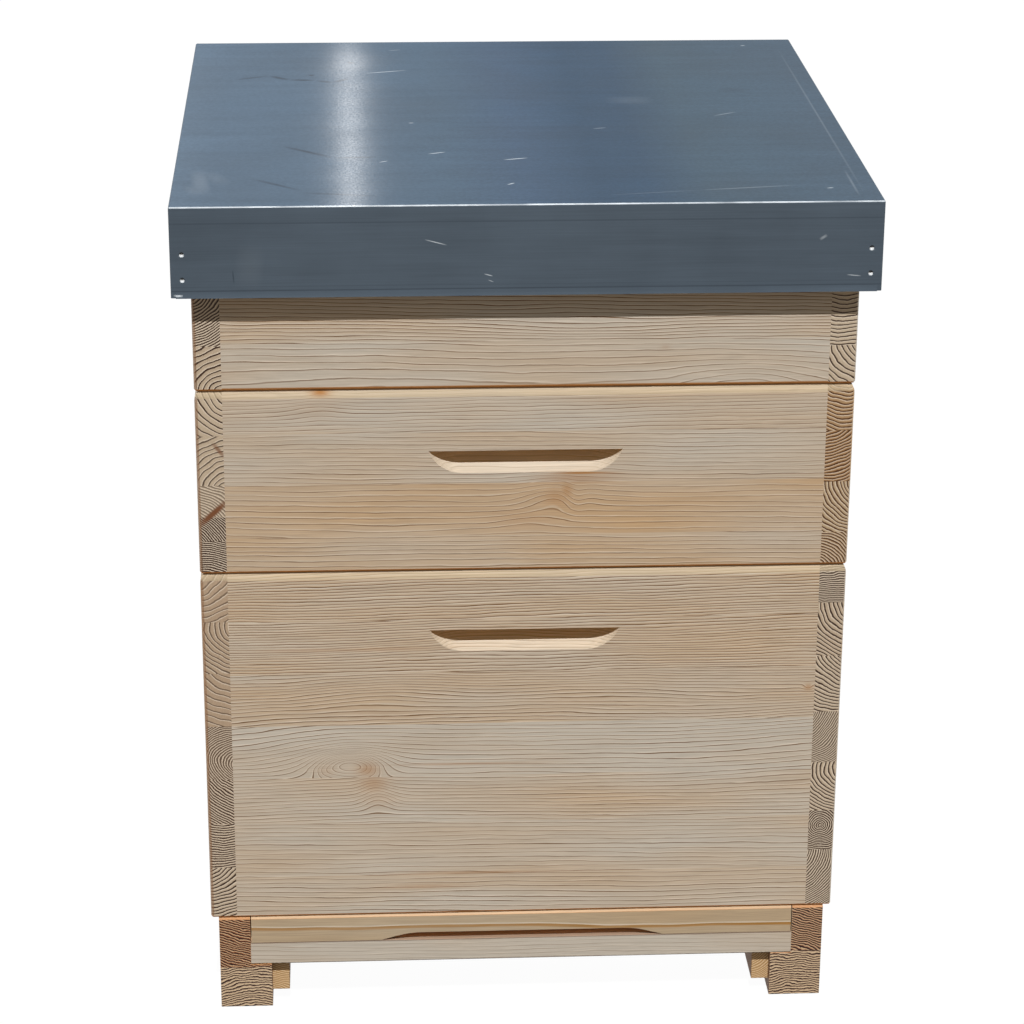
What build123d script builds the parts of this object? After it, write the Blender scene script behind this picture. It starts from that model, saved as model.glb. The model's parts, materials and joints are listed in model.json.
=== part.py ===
# A twelve-frame Dadant beehive: mesh floor, brood box, honey super, rim, crown board and metal roof.
# Millimetres. X runs across the hive, Y from front to back, Z up from the ground under its middle.
import os

from build123d import *

os.makedirs("parts", exist_ok=True)

# Frames: the deep pattern in the brood box, the half-depth pattern in the super
frame_count = 12
frame_pitch = 37.5
frame_length = 435.0  # over the side bars
brood_frame_height = 300.0
super_frame_height = 145.0
top_bar_width = 25.0
top_bar_thickness = 20.0
lug_reach = 17.5  # each end of the top bar, past the side bar
lug_thickness = 10.0
side_bar_width = 25.0
side_bar_thickness = 8.0
shoulder_gap = 0.5  # between the wide shoulders of neighbouring frames
brood_shoulder = 90.0  # height of the wide shoulder
super_shoulder = 45.0
shoulder_slope = 12.0  # height over which the shoulder narrows
bottom_bar_width = 20.0
bottom_bar_thickness = 10.0
foundation_thickness = 3.0

# Boxes: boards lapped at the corners, bevelled along the top and bottom outer edges
wall = 45.0
lap_leaf = 22.5  # what is left of a side board beside the end of a front or rear board
end_bee_space = 7.5
top_bee_space = 8.0
brood_under_space = 14.5
super_under_space = 7.0
bevel_rise = 7.0
bevel_run = 6.0  # front and rear
side_bevel_run = 3.0
drip_bevel = 3.0  # along the bottom edges
rest_thickness = 1.0
rest_leg = 14.0
lug_end_gap = 2.0  # from the lug to the folded rest behind it
rest_end_gap = 0.5

# Hand-holds, milled with a cove cutter that turns about an upright axis
handle_drop = 54.5  # from the top of the box to the ledge
handle_run = 105.0  # travel of the cutter
handle_height = 19.5
handle_depth = 18.0
cutter_offset = 12.0  # cutter axis in front of the board
cove_sag = 2.0  # how far the cove is hollowed below a straight slope

# Rim and crown board
rim_height = 140.0
crown_thickness = 10.0
crown_seat = 20.0  # how far the crown board lies on the walls
crown_gap = 1.0
crown_lift_gap = 0.3
batten_width = 40.0
batten_thickness = 12.0
batten_inset = 25.0  # from the crown board's edge

# Roof: a wooden tray covered in folded sheet metal
sheet = 0.8
roof_gap = 2.2  # round the rim
liner_thickness = 12.0
liner_recess = 2.0  # liner edge above the bottom of the skirt
panel_thickness = 18.0
skirt_height = 75.0
hem_height = 6.0
hem_reach = 1.5
hem_end_gap = 4.0
bend_radius = 2 * sheet

# Floor: two rebated rails, a sill and a rear bar, with a mesh between them
floor_height = 88.5
floor_inset = 6.5  # from the side of the box
rail_width = 45.0
rail_cheek = 27.0  # upper part of the rail
rail_bevel = 2.5
ledge_height = 42.0
sill_depth = 60.0
sill_thickness = 21.0
rear_bar_depth = 30.0
mesh_thickness = 1.2
mesh_margin = 10.0  # plain edge on the ledges
mesh_cells = 12
mesh_wire = 3.0
mesh_gap = 0.5

# Entrance block: lies loose on the sill
block_depth = 40.0
block_top_gap = 0.3
block_end_gap = 0.8
block_bevel = 2.2
arch_span = 246.0
arch_end = 24.0  # length of each sloping end
arch_rise = 7.0
arch_round = 75.0  # from the slope into the flat top

# Tray under the mesh, with its runners and its wooden pull
runner_width = 15.0
runner_set_back = 8.0  # behind the rail's front end
runner_foot = 12.0  # clear of the ground
groove_foot = 18.0  # from the runner's underside
groove_height = 4.0
groove_depth = 9.0
tray_sheet = 1.2
tray_side_gap = 1.5
tray_lip_gap = 1.5
tray_wall = 14.0
tray_front_gap = 5.0  # behind the sill
pull_thickness = 18.0
pull_gap = 1.0

# Screws and nails
screw_radius = 2.5
screw_head_radius = 5.0
screw_length = 50.0
screw_margin = 40.0  # from the top and bottom of a box
brood_corner_screws = 3
super_corner_screws = 2
sill_screw_inset = 15.0
bar_screw_inset = 14.0
nail_radius = 1.0
nail_head_radius = 2.2
nail_length = 20.0
nail_recess = 0.4
nail_inset = 9.5  # from the roof's corner
nail_spacing = 21.0
nail_drop = 39.0  # from the roof's top to the upper nail
fastener_gap = 0.05
countersink_angle = 90.0

# Overall sizes that follow from these
inner_width = frame_count * frame_pitch
inner_depth = frame_length + 2 * end_bee_space
box_width = inner_width + 2 * wall
box_depth = inner_depth + 2 * wall
end_board_length = box_width - 2 * lap_leaf
corner_ys = [-(box_depth - wall) / 2, (box_depth - wall) / 2]  # middles of the front and rear boards
top_bar_length = frame_length + 2 * lug_reach
lug_rebate_width = (top_bar_length - inner_depth) / 2 + lug_end_gap + rest_thickness
lug_rebate_depth = top_bee_space + lug_thickness + rest_thickness
brood_height = brood_under_space + brood_frame_height + top_bee_space
super_height = super_under_space + super_frame_height + top_bee_space

brood_bottom = floor_height
super_bottom = brood_bottom + brood_height
rim_bottom = super_bottom + super_height
rim_top = rim_bottom + rim_height
roof_top = rim_top + panel_thickness + sheet
skirt_bottom = roof_top - skirt_height

roof_width = box_width + 2 * (roof_gap + liner_thickness + sheet)
roof_depth = box_depth + 2 * (roof_gap + liner_thickness + sheet)


def save(builder, label):
    builder.part.label = label
    export_step(builder.part, f"parts/{label}.step")


def spread(low, high, count):
    return [low + (high - low) * i / (count - 1) for i in range(count)]


# Countersunk screw and nail, head up at the origin


def fastener(head_radius, radius, length):
    with BuildPart() as piece:
        with BuildSketch(Plane.XZ):
            with BuildLine():
                Polyline(
                    (0, 0),
                    (head_radius, 0),
                    (radius, radius - head_radius),
                    (radius, -length),
                    (0, -length),
                    close=True,
                )
            make_face()
        revolve(axis=Axis.Z)
    return piece.part


screw = fastener(screw_head_radius, screw_radius, screw_length)
nail = fastener(nail_head_radius - nail_recess, nail_radius, nail_length)


def fastener_group(label, piece, planes):
    with BuildPart() as group:
        with Locations(*planes):
            add(piece)
    save(group, label)


def corner_screw_heights(z_low, z_high, count):
    return spread(z_low + screw_margin, z_high - screw_margin, count)


def side_planes(x, ys, zs):
    # Planes on both sides of the hive at the same distance x, facing outwards
    return [
        Plane(origin=(side * x, y, z), x_dir=(0, 1, 0), z_dir=(side, 0, 0))
        for side in (-1, 1)
        for y in ys
        for z in zs
    ]


# Boards of the brood box, the super and the rim


def end_board(label, facing, z_low, z_high, screw_heights, is_rim=False):
    # Front (facing -1) or rear (facing 1) board; depths are measured in from its outer face
    outer = facing * box_depth / 2

    def at(depth, z):
        return (outer - facing * depth, z)

    if is_rim:
        rebate_z = z_low + crown_thickness + crown_lift_gap
        rebate_depth = wall - crown_seat - crown_gap
        section = [
            at(drip_bevel, z_low),
            at(0, z_low + drip_bevel),
            at(0, z_high),
            at(wall, z_high),
            at(wall, rebate_z),
            at(rebate_depth, rebate_z),
            at(rebate_depth, z_low),
        ]
    else:
        rebate_z = z_high - lug_rebate_depth
        rebate_depth = wall - lug_rebate_width
        section = [
            at(drip_bevel, z_low),
            at(0, z_low + drip_bevel),
            at(0, z_high - bevel_rise),
            at(bevel_run, z_high),
            at(rebate_depth, z_high),
            at(rebate_depth, rebate_z),
            at(wall, rebate_z),
            at(wall, z_low),
        ]
    with BuildPart() as board:
        with BuildSketch(Plane.YZ):
            with BuildLine():
                Polyline(*section, close=True)
            make_face()
        extrude(amount=end_board_length / 2, both=True)
        pilot_depth = screw_length - lap_leaf + fastener_gap
        pilots = side_planes(end_board_length / 2, [outer - facing * wall / 2], screw_heights)
        with Locations(*pilots):
            Hole(screw_radius + fastener_gap, depth=pilot_depth)
        if not is_rim:
            ledge_z = z_high - handle_drop
            lip_z = ledge_z - handle_height
            cove_middle = at(handle_depth / 2 + cove_sag, (ledge_z + lip_z) / 2 - cove_sag)

            def cove_section(plane):
                with BuildSketch(plane) as cove:
                    with BuildLine():
                        Polyline(at(0, lip_z), at(-cutter_offset, lip_z), at(-cutter_offset, ledge_z),
                                 at(handle_depth, ledge_z))
                        ThreePointArc(at(handle_depth, ledge_z), cove_middle, at(0, lip_z))
                    make_face()
                return cove.sketch

            extrude(cove_section(Plane.YZ), amount=handle_run / 2, both=True, mode=Mode.SUBTRACT)
            for end_x in (-handle_run / 2, handle_run / 2):
                spindle = Axis((end_x, *at(-cutter_offset, 0)), (0, 0, 1))
                revolve(cove_section(Plane.YZ.offset(end_x)), axis=spindle, mode=Mode.SUBTRACT)
    save(board, label)


def side_board(label, side, z_low, z_high, screw_heights, is_rim=False):
    # Left (side -1) or right (side 1) board, running the full depth, with laps cut in both ends
    outer = side * box_width / 2

    def at(depth, z):
        return (outer - side * depth, z)

    section = [at(drip_bevel, z_low), at(0, z_low + drip_bevel)]
    if is_rim:
        rebate_z = z_low + crown_thickness + crown_lift_gap
        rebate_depth = wall - crown_seat - crown_gap
        section += [
            at(0, z_high),
            at(wall, z_high),
            at(wall, rebate_z),
            at(rebate_depth, rebate_z),
            at(rebate_depth, z_low),
        ]
    else:
        section += [
            at(0, z_high - bevel_rise),
            at(side_bevel_run, z_high),
            at(wall, z_high),
            at(wall, z_low),
        ]
    with BuildPart() as board:
        with BuildSketch(Plane.XZ):
            with BuildLine():
                Polyline(*section, close=True)
            make_face()
        extrude(amount=box_depth / 2, both=True)
        lap_middle = outer - side * (wall + lap_leaf) / 2
        with BuildSketch(Plane.XY.offset(z_low)):
            with Locations(*[(lap_middle, end * (box_depth - wall) / 2) for end in (-1, 1)]):
                Rectangle(wall - lap_leaf, wall)
        extrude(amount=z_high - z_low, mode=Mode.SUBTRACT)
        for end in (-1, 1):
            face = end * box_depth / 2
            wedges = [[(face, z_low), (face, z_low + drip_bevel), (face - end * drip_bevel, z_low)]]
            if not is_rim:
                wedges.append([(face, z_high), (face, z_high - bevel_rise), (face - end * bevel_run, z_high)])
            for wedge in wedges:
                with BuildSketch(Plane.YZ):
                    with BuildLine():
                        Polyline(*wedge, close=True)
                    make_face()
                extrude(amount=box_width, both=True, mode=Mode.SUBTRACT)
        heads = [p for p in side_planes(box_width / 2, corner_ys, screw_heights) if p.origin.X * side > 0]
        with Locations(*heads):
            CounterSinkHole(
                screw_radius + fastener_gap,
                screw_head_radius + fastener_gap,
                depth=lap_leaf,
                counter_sink_angle=countersink_angle,
            )
    save(board, label)


def box_boards(name, z_low, z_high, screw_count, is_rim=False):
    heights = corner_screw_heights(z_low, z_high, screw_count)
    end_board(f"{name}_front", -1, z_low, z_high, heights, is_rim)
    end_board(f"{name}_rear", 1, z_low, z_high, heights, is_rim)
    side_board(f"{name}_left", -1, z_low, z_high, heights, is_rim)
    side_board(f"{name}_right", 1, z_low, z_high, heights, is_rim)
    fastener_group(f"{name}_screws", screw, side_planes(box_width / 2, corner_ys, heights))


box_boards("brood", brood_bottom, super_bottom, brood_corner_screws)
box_boards("super", super_bottom, rim_bottom, super_corner_screws)
box_boards("rim", rim_bottom, rim_top, super_corner_screws, is_rim=True)


# Folded strips in the front and rear rebates, on which the frame lugs hang


def frame_rests(label, z_high):
    seat = z_high - lug_rebate_depth
    with BuildPart() as rests:
        for facing in (-1, 1):
            inner = facing * inner_depth / 2
            back = inner + facing * lug_rebate_width
            with BuildSketch(Plane.YZ):
                with BuildLine():
                    Polyline(
                        (inner, seat),
                        (back, seat),
                        (back, seat + rest_leg),
                        (back - facing * rest_thickness, seat + rest_leg),
                        (back - facing * rest_thickness, seat + rest_thickness),
                        (inner, seat + rest_thickness),
                        close=True,
                    )
                make_face()
            extrude(amount=inner_width / 2 - rest_end_gap, both=True)
    save(rests, label)


frame_rests("brood_frame_rests", super_bottom)
frame_rests("super_frame_rests", rim_bottom)


# Frames: top bar with lugs, two self-spacing side bars, bottom bar and wax foundation


def hive_frame(label, x, z_top, height, shoulder):
    half = frame_length / 2
    half_bar = top_bar_length / 2
    z_bar = z_top - top_bar_thickness
    z_low = z_top - height
    half_shoulder = (frame_pitch - shoulder_gap) / 2
    with BuildPart() as top_bar:
        with BuildSketch(Plane.YZ.offset(x)):
            with BuildLine():
                Polyline(
                    (-half_bar, z_top),
                    (half_bar, z_top),
                    (half_bar, z_top - lug_thickness),
                    (half, z_top - lug_thickness),
                    (half, z_bar),
                    (-half, z_bar),
                    (-half, z_top - lug_thickness),
                    (-half_bar, z_top - lug_thickness),
                    close=True,
                )
            make_face()
        extrude(amount=top_bar_width / 2, both=True)
    with BuildPart() as side_bars:
        for end in (-1, 1):
            with BuildSketch(Plane.XZ.offset(-end * (half - side_bar_thickness / 2))):
                with BuildLine():
                    Polyline(
                        (x - half_shoulder, z_bar),
                        (x - half_shoulder, z_bar - shoulder),
                        (x - side_bar_width / 2, z_bar - shoulder - shoulder_slope),
                        (x - side_bar_width / 2, z_low),
                        (x + side_bar_width / 2, z_low),
                        (x + side_bar_width / 2, z_bar - shoulder - shoulder_slope),
                        (x + half_shoulder, z_bar - shoulder),
                        (x + half_shoulder, z_bar),
                        close=True,
                    )
                make_face()
            extrude(amount=side_bar_thickness / 2, both=True)
    clear_length = frame_length - 2 * side_bar_thickness
    with BuildPart() as bottom_bar:
        with BuildSketch(Plane.XY.offset(z_low)):
            with Locations((x, 0)):
                Rectangle(bottom_bar_width, clear_length)
        extrude(amount=bottom_bar_thickness)
    with BuildPart() as foundation:
        with BuildSketch(Plane.XY.offset(z_low + bottom_bar_thickness)):
            with Locations((x, 0)):
                Rectangle(foundation_thickness, clear_length)
        extrude(amount=height - bottom_bar_thickness - top_bar_thickness)
    bars = [top_bar.part, *side_bars.part.solids(), bottom_bar.part, foundation.part]
    whole = Compound(label=label, children=bars)
    export_step(whole, f"parts/{label}.step")


for number in range(frame_count):
    frame_x = (number - (frame_count - 1) / 2) * frame_pitch
    hive_frame(f"brood_frame_{number + 1}", frame_x, super_bottom - top_bee_space,
               brood_frame_height, brood_shoulder)
    hive_frame(f"super_frame_{number + 1}", frame_x, rim_bottom - top_bee_space,
               super_frame_height, super_shoulder)


# Floor rails, sill, rear bar, mesh and screws

rail_outer = box_width / 2 - floor_inset
cheek_inner = rail_outer - rail_cheek
rail_inner = rail_outer - rail_width
sill_back = -box_depth / 2 + sill_depth
bar_front = box_depth / 2 - rear_bar_depth
sill_screw_z = ledge_height + sill_thickness / 2
bar_screw_zs = [ledge_height + bar_screw_inset, floor_height - bar_screw_inset]
sill_screw_ys = [-box_depth / 2 + sill_screw_inset, sill_back - sill_screw_inset]
bar_screw_y = box_depth / 2 - rear_bar_depth / 2
floor_screw_planes = side_planes(rail_outer, sill_screw_ys, [sill_screw_z])
floor_screw_planes += side_planes(rail_outer, [bar_screw_y], bar_screw_zs)


def floor_rail(label, side):
    with BuildPart() as rail:
        with BuildSketch(Plane.XZ):
            with BuildLine():
                Polyline(
                    (side * rail_outer, 0),
                    (side * rail_outer, floor_height),
                    (side * cheek_inner, floor_height),
                    (side * cheek_inner, ledge_height),
                    (side * rail_inner, ledge_height),
                    (side * rail_inner, 0),
                    close=True,
                )
            make_face()
        extrude(amount=box_depth / 2, both=True)
        top_ends = rail.edges().filter_by(Axis.X).group_by(Axis.Z)[-1]
        chamfer(top_ends, rail_bevel)
        with Locations(*[p for p in floor_screw_planes if p.origin.X * side > 0]):
            CounterSinkHole(
                screw_radius + fastener_gap,
                screw_head_radius + fastener_gap,
                depth=rail_cheek,
                counter_sink_angle=countersink_angle,
            )
    save(rail, label)


floor_rail("floor_rail_left", -1)
floor_rail("floor_rail_right", 1)
fastener_group("floor_screws", screw, floor_screw_planes)

cross_length = 2 * cheek_inner
cross_pilot = screw_length - rail_cheek + fastener_gap

with BuildPart() as floor_sill:
    with BuildSketch(Plane.XY.offset(ledge_height)):
        with Locations((0, sill_back - sill_depth / 2)):
            Rectangle(cross_length, sill_depth)
    extrude(amount=sill_thickness)
    with Locations(*side_planes(cheek_inner, sill_screw_ys, [sill_screw_z])):
        Hole(screw_radius + fastener_gap, depth=cross_pilot)
save(floor_sill, "floor_sill")

with BuildPart() as floor_rear_bar:
    with BuildSketch(Plane.XY.offset(ledge_height)):
        with Locations((0, bar_front + rear_bar_depth / 2)):
            Rectangle(cross_length, rear_bar_depth)
    extrude(amount=floor_height - ledge_height)
    with Locations(*side_planes(cheek_inner, [bar_screw_y], bar_screw_zs)):
        Hole(screw_radius + fastener_gap, depth=cross_pilot)
save(floor_rear_bar, "floor_rear_bar")

mesh_width = cross_length - 2 * mesh_gap
mesh_length = bar_front - sill_back - 2 * mesh_gap
cell_x = (mesh_width - 2 * mesh_margin) / mesh_cells
cell_y = (mesh_length - 2 * mesh_margin) / mesh_cells
with BuildPart() as floor_mesh:
    with BuildSketch(Plane.XY.offset(ledge_height)):
        with Locations((0, (sill_back + bar_front) / 2)):
            Rectangle(mesh_width, mesh_length)
            with GridLocations(cell_x, cell_y, mesh_cells, mesh_cells):
                Rectangle(cell_x - mesh_wire, cell_y - mesh_wire, mode=Mode.SUBTRACT)
    extrude(amount=mesh_thickness)
save(floor_mesh, "floor_mesh")

# Entrance block with its arched bee entrance

block_low = ledge_height + sill_thickness
block_high = floor_height - block_top_gap
with BuildPart() as entrance_block:
    block_front = -box_depth / 2
    with BuildSketch(Plane.YZ):
        with BuildLine():
            Polyline(
                (block_front, block_low),
                (block_front, block_high - block_bevel),
                (block_front + block_bevel, block_high),
                (block_front + block_depth, block_high),
                (block_front + block_depth, block_low),
                close=True,
            )
        make_face()
    extrude(amount=cheek_inner - block_end_gap, both=True)
    with BuildSketch(Plane.XZ) as arch:
        half_span = arch_span / 2
        half_flat = half_span - arch_end
        arch_top = block_low + arch_rise
        with BuildLine():
            Polyline(
                (-half_span, block_low),
                (-half_flat, arch_top),
                (half_flat, arch_top),
                (half_span, block_low),
                close=True,
            )
        make_face()
        fillet(arch.vertices().group_by(Axis.Y)[-1], arch_round)
    extrude(amount=box_depth, mode=Mode.SUBTRACT)
save(entrance_block, "entrance_block")

# Tray runners, tray and pull

runner_inner = rail_inner - runner_width
groove_z = runner_foot + groove_foot
tray_front = sill_back + tray_front_gap


def tray_runner(label, side):
    with BuildPart() as runner:
        with BuildSketch(Plane.XY.offset(runner_foot)):
            with Locations((side * (rail_inner - runner_width / 2), runner_set_back / 2)):
                Rectangle(runner_width, box_depth - runner_set_back)
        extrude(amount=ledge_height - runner_foot)
        groove_length = box_depth / 2 - tray_front + tray_front_gap
        with BuildSketch(Plane.XY.offset(groove_z)):
            with Locations((side * (runner_inner + groove_depth / 2), (box_depth - groove_length) / 2)):
                Rectangle(groove_depth, groove_length)
        extrude(amount=groove_height, mode=Mode.SUBTRACT)
    save(runner, label)


tray_runner("tray_runner_left", -1)
tray_runner("tray_runner_right", 1)

tray_half = runner_inner - tray_side_gap
lip_half = runner_inner + groove_depth - tray_lip_gap
tray_top = groove_z + tray_sheet
tray_low = tray_top - tray_wall
pull_front = box_depth / 2 - pull_thickness
tray_length = pull_front - tray_front
tray_middle = (tray_front + pull_front) / 2
with BuildPart() as varroa_tray:
    with BuildSketch(Plane.XY.offset(tray_low)):
        with Locations((0, tray_middle)):
            Rectangle(2 * tray_half, tray_length)
    extrude(amount=tray_wall)
    with BuildSketch(Plane.XY.offset(groove_z)):
        with Locations((0, tray_middle)):
            Rectangle(2 * lip_half, tray_length)
    extrude(amount=tray_sheet)
    with BuildSketch(Plane.XY.offset(tray_low + tray_sheet)):
        with Locations((0, tray_middle)):
            Rectangle(2 * (tray_half - tray_sheet), tray_length - 2 * tray_sheet)
    extrude(amount=tray_wall, mode=Mode.SUBTRACT)
save(varroa_tray, "varroa_tray")

with BuildPart() as tray_pull:
    with BuildSketch(Plane.XY.offset(runner_foot)):
        with Locations((0, box_depth / 2 - pull_thickness / 2)):
            Rectangle(2 * (runner_inner - pull_gap), pull_thickness)
    extrude(amount=ledge_height - runner_foot - pull_gap)
save(tray_pull, "tray_pull")

# Crown board with two battens, lying on the super inside the rim's rebate

crown_half_width = inner_width / 2 + crown_seat
crown_half_depth = inner_depth / 2 + crown_seat
with BuildPart() as crown_panel:
    with BuildSketch(Plane.XY.offset(rim_bottom)):
        Rectangle(2 * crown_half_width, 2 * crown_half_depth)
    extrude(amount=crown_thickness)
with BuildPart() as crown_battens:
    batten_y = inner_depth / 2 - batten_inset - batten_width / 2
    with BuildSketch(Plane.XY.offset(rim_bottom + crown_thickness)):
        with GridLocations(0, 2 * batten_y, 1, 2):
            Rectangle(inner_width - 2 * batten_inset, batten_width)
    extrude(amount=batten_thickness)
crown_board = Compound(label="crown_board", children=[crown_panel.part, *crown_battens.part.solids()])
export_step(crown_board, "parts/crown_board.step")

# Roof: folded sheet over a panel and four liner boards

nail_heights = [roof_top - nail_drop, roof_top - nail_drop - nail_spacing]
nail_xs = [-(roof_width / 2 - nail_inset), roof_width / 2 - nail_inset]


def nail_planes(depth):
    # Planes at a depth in from the front and rear of the skirt, facing outwards
    return [
        Plane(origin=(x, facing * (roof_depth / 2 - depth), z), x_dir=(1, 0, 0), z_dir=(0, facing, 0))
        for facing in (-1, 1)
        for x in nail_xs
        for z in nail_heights
    ]


with BuildPart() as roof_sheet:
    with BuildSketch(Plane.XY.offset(skirt_bottom)):
        Rectangle(roof_width, roof_depth)
    extrude(amount=skirt_height)
    folds = roof_sheet.edges().group_by(Axis.Z)[-1] + roof_sheet.edges().filter_by(Axis.Z)
    fillet(folds, bend_radius)
    for facing in (-1, 1):
        skirt_y = facing * roof_depth / 2
        with BuildSketch(Plane.YZ):
            with BuildLine():
                Polyline(
                    (skirt_y, skirt_bottom),
                    (skirt_y + facing * hem_reach, skirt_bottom),
                    (skirt_y, skirt_bottom + hem_height),
                    close=True,
                )
            make_face()
        extrude(amount=roof_width / 2 - hem_end_gap, both=True)
    with BuildSketch(Plane.XY.offset(skirt_bottom)):
        Rectangle(roof_width - 2 * sheet, roof_depth - 2 * sheet)
    extrude(amount=skirt_height - sheet, mode=Mode.SUBTRACT)
    with Locations(*nail_planes(0)):
        CounterSinkHole(
            nail_radius + fastener_gap,
            nail_head_radius + fastener_gap,
            depth=nail_length,
            counter_sink_angle=countersink_angle,
        )
save(roof_sheet, "roof_sheet")
fastener_group("roof_nails", nail, nail_planes(nail_recess))

with BuildPart() as roof_panel:
    with BuildSketch(Plane.XY.offset(rim_top)):
        Rectangle(roof_width - 2 * sheet, roof_depth - 2 * sheet)
    extrude(amount=panel_thickness)
save(roof_panel, "roof_panel")

liner_low = skirt_bottom + liner_recess
liner_height = rim_top - liner_low
liner_sink = max(nail_head_radius - sheet, nail_radius) + fastener_gap
nail_reach = nail_length + nail_recess


def liner(label, x, y, width, depth, nail_face):
    # Board inside the skirt; nails enter it from planes at the given depth behind the skirt's face
    with BuildPart() as board:
        with BuildSketch(Plane.XY.offset(liner_low)):
            with Locations((x, y)):
                Rectangle(width, depth)
        extrude(amount=liner_height)
        with Locations(*nail_planes(nail_face)):
            if nail_face == sheet:
                CounterSinkHole(
                    nail_radius + fastener_gap,
                    liner_sink,
                    depth=liner_thickness,
                    counter_sink_angle=countersink_angle,
                )
            else:
                Hole(nail_radius + fastener_gap, depth=nail_reach - nail_face)
    save(board, label)


liner_span = roof_width - 2 * sheet
liner_y = roof_depth / 2 - sheet - liner_thickness / 2
liner_x = roof_width / 2 - sheet - liner_thickness / 2
side_liner_length = roof_depth - 2 * (sheet + liner_thickness)
liner("roof_liner_front", 0, -liner_y, liner_span, liner_thickness, sheet)
liner("roof_liner_rear", 0, liner_y, liner_span, liner_thickness, sheet)
liner("roof_liner_left", -liner_x, 0, liner_thickness, side_liner_length, sheet + liner_thickness)
liner("roof_liner_right", liner_x, 0, liner_thickness, side_liner_length, sheet + liner_thickness)
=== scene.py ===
import json
import math
import random
from bisect import bisect
from functools import partial

import bmesh
import bpy
from mathutils import Matrix, Vector

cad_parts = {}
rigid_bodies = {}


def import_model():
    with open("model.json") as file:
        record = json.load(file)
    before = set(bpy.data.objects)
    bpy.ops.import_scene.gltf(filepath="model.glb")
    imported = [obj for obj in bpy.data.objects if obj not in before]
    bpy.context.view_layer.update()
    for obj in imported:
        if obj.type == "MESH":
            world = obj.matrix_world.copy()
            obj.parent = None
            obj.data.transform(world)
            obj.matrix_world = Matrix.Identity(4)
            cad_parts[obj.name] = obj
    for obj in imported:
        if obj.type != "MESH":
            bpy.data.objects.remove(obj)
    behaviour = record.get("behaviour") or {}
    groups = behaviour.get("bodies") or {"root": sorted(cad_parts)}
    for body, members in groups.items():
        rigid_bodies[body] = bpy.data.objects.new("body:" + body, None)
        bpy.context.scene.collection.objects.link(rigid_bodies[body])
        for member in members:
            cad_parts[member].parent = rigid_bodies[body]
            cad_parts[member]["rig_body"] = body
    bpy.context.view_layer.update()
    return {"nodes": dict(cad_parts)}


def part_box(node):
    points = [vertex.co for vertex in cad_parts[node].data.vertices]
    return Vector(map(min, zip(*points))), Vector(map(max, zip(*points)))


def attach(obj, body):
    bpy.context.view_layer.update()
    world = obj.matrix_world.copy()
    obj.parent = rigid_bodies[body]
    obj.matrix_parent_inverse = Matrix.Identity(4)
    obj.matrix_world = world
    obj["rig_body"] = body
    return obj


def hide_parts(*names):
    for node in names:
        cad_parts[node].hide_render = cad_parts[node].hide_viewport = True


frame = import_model()
nodes = frame["nodes"]
mm = 0.001
tiny = 0.001 * mm


def linear(hexColour):
    channels = [int(hexColour[i:i + 2], 16) / 255 for i in (1, 3, 5)]
    return [c / 12.92 if c <= 0.04045 else ((c + 0.055) / 1.055) ** 2.4 for c in channels] + [1.0]


# Inputs by place or by name; a bare kind is a shader node
def addNode(tree, kind, inputs=(), operation=None, **settings):
    node = tree.nodes.new(kind if "Node" in kind else "ShaderNode" + kind)
    if operation:
        settings = {"operation": operation, **settings}
    for key, value in settings.items():
        setattr(node, key, value)
    for key, value in inputs.items() if isinstance(inputs, dict) else enumerate(inputs):
        if isinstance(value, bpy.types.Node):
            tree.links.new(value.outputs[0], node.inputs[key])
        elif isinstance(value, bpy.types.NodeSocket):
            tree.links.new(value, node.inputs[key])
        else:
            node.inputs[key].default_value = value
    return node


def newMaterial(name):
    material = bpy.data.materials.new(name)
    material.use_nodes = True
    material.node_tree.nodes.clear()
    return material, partial(addNode, material.node_tree)


# Planed pine, unfinished: greyish pale spring wood with thin brown summer rings and a bright edge beside each,
# sharper and darker on sawn ends.
# Sway and ripple of the rings: length along the grain, length across it and size, in mm
pine = {
    "pale": "#b6ada0", "warm": "#b39168", "bright": "#d6ccbc", "line": "#5f3f1c",
    "endPale": "#b9a993", "endRed": "#8c6b4f", "endBright": "#e2d5c2", "endLine": "#2e1809",
    "stain": "#9b6b36", "branch": "#6b4227", "roughness": (0.52, 0.7), "taper": 0.012,
    "lineWidth": 0.82, "endLineWidth": 1.52, "sway": (260, 40, 12.0), "ripple": (38, 7, 2.1), "endRipple": 0.7,
}
railWood = dict(pine, endPale="#bba48b", endRed="#80421b", endLine="#2a1408", endBright="#e8d0a8",
                endLineWidth=1.42, ripple=(34, 9, 4.6), endRipple=1.0)  # from a crooked stem, reddish, wavy rings
blockWood = dict(pine, pale="#ab9c86", warm="#a68b68", line="#94692f", lineWidth=3.1, ripple=(160, 30, 9.0),
                 endPale="#d2ae78", endRed="#c09660", endLine="#7a5630")  # resinous, with golden ends
frameWood = dict(pine, pale="#d2c19f", warm="#cbad7f", bright="#dccdae", line="#a3855a",
                 endPale="#bfa67f")  # planed lime: creamy and even
goldWood = dict(pine, endPale="#b09c7f", endRed="#967047", endLine="#47290f")  # golden ends
sawnWood = dict(pine, pale="#b9a88a", warm="#b39265", line="#7a5f3e", roughness=(0.66, 0.85))  # rough from the saw
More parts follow.
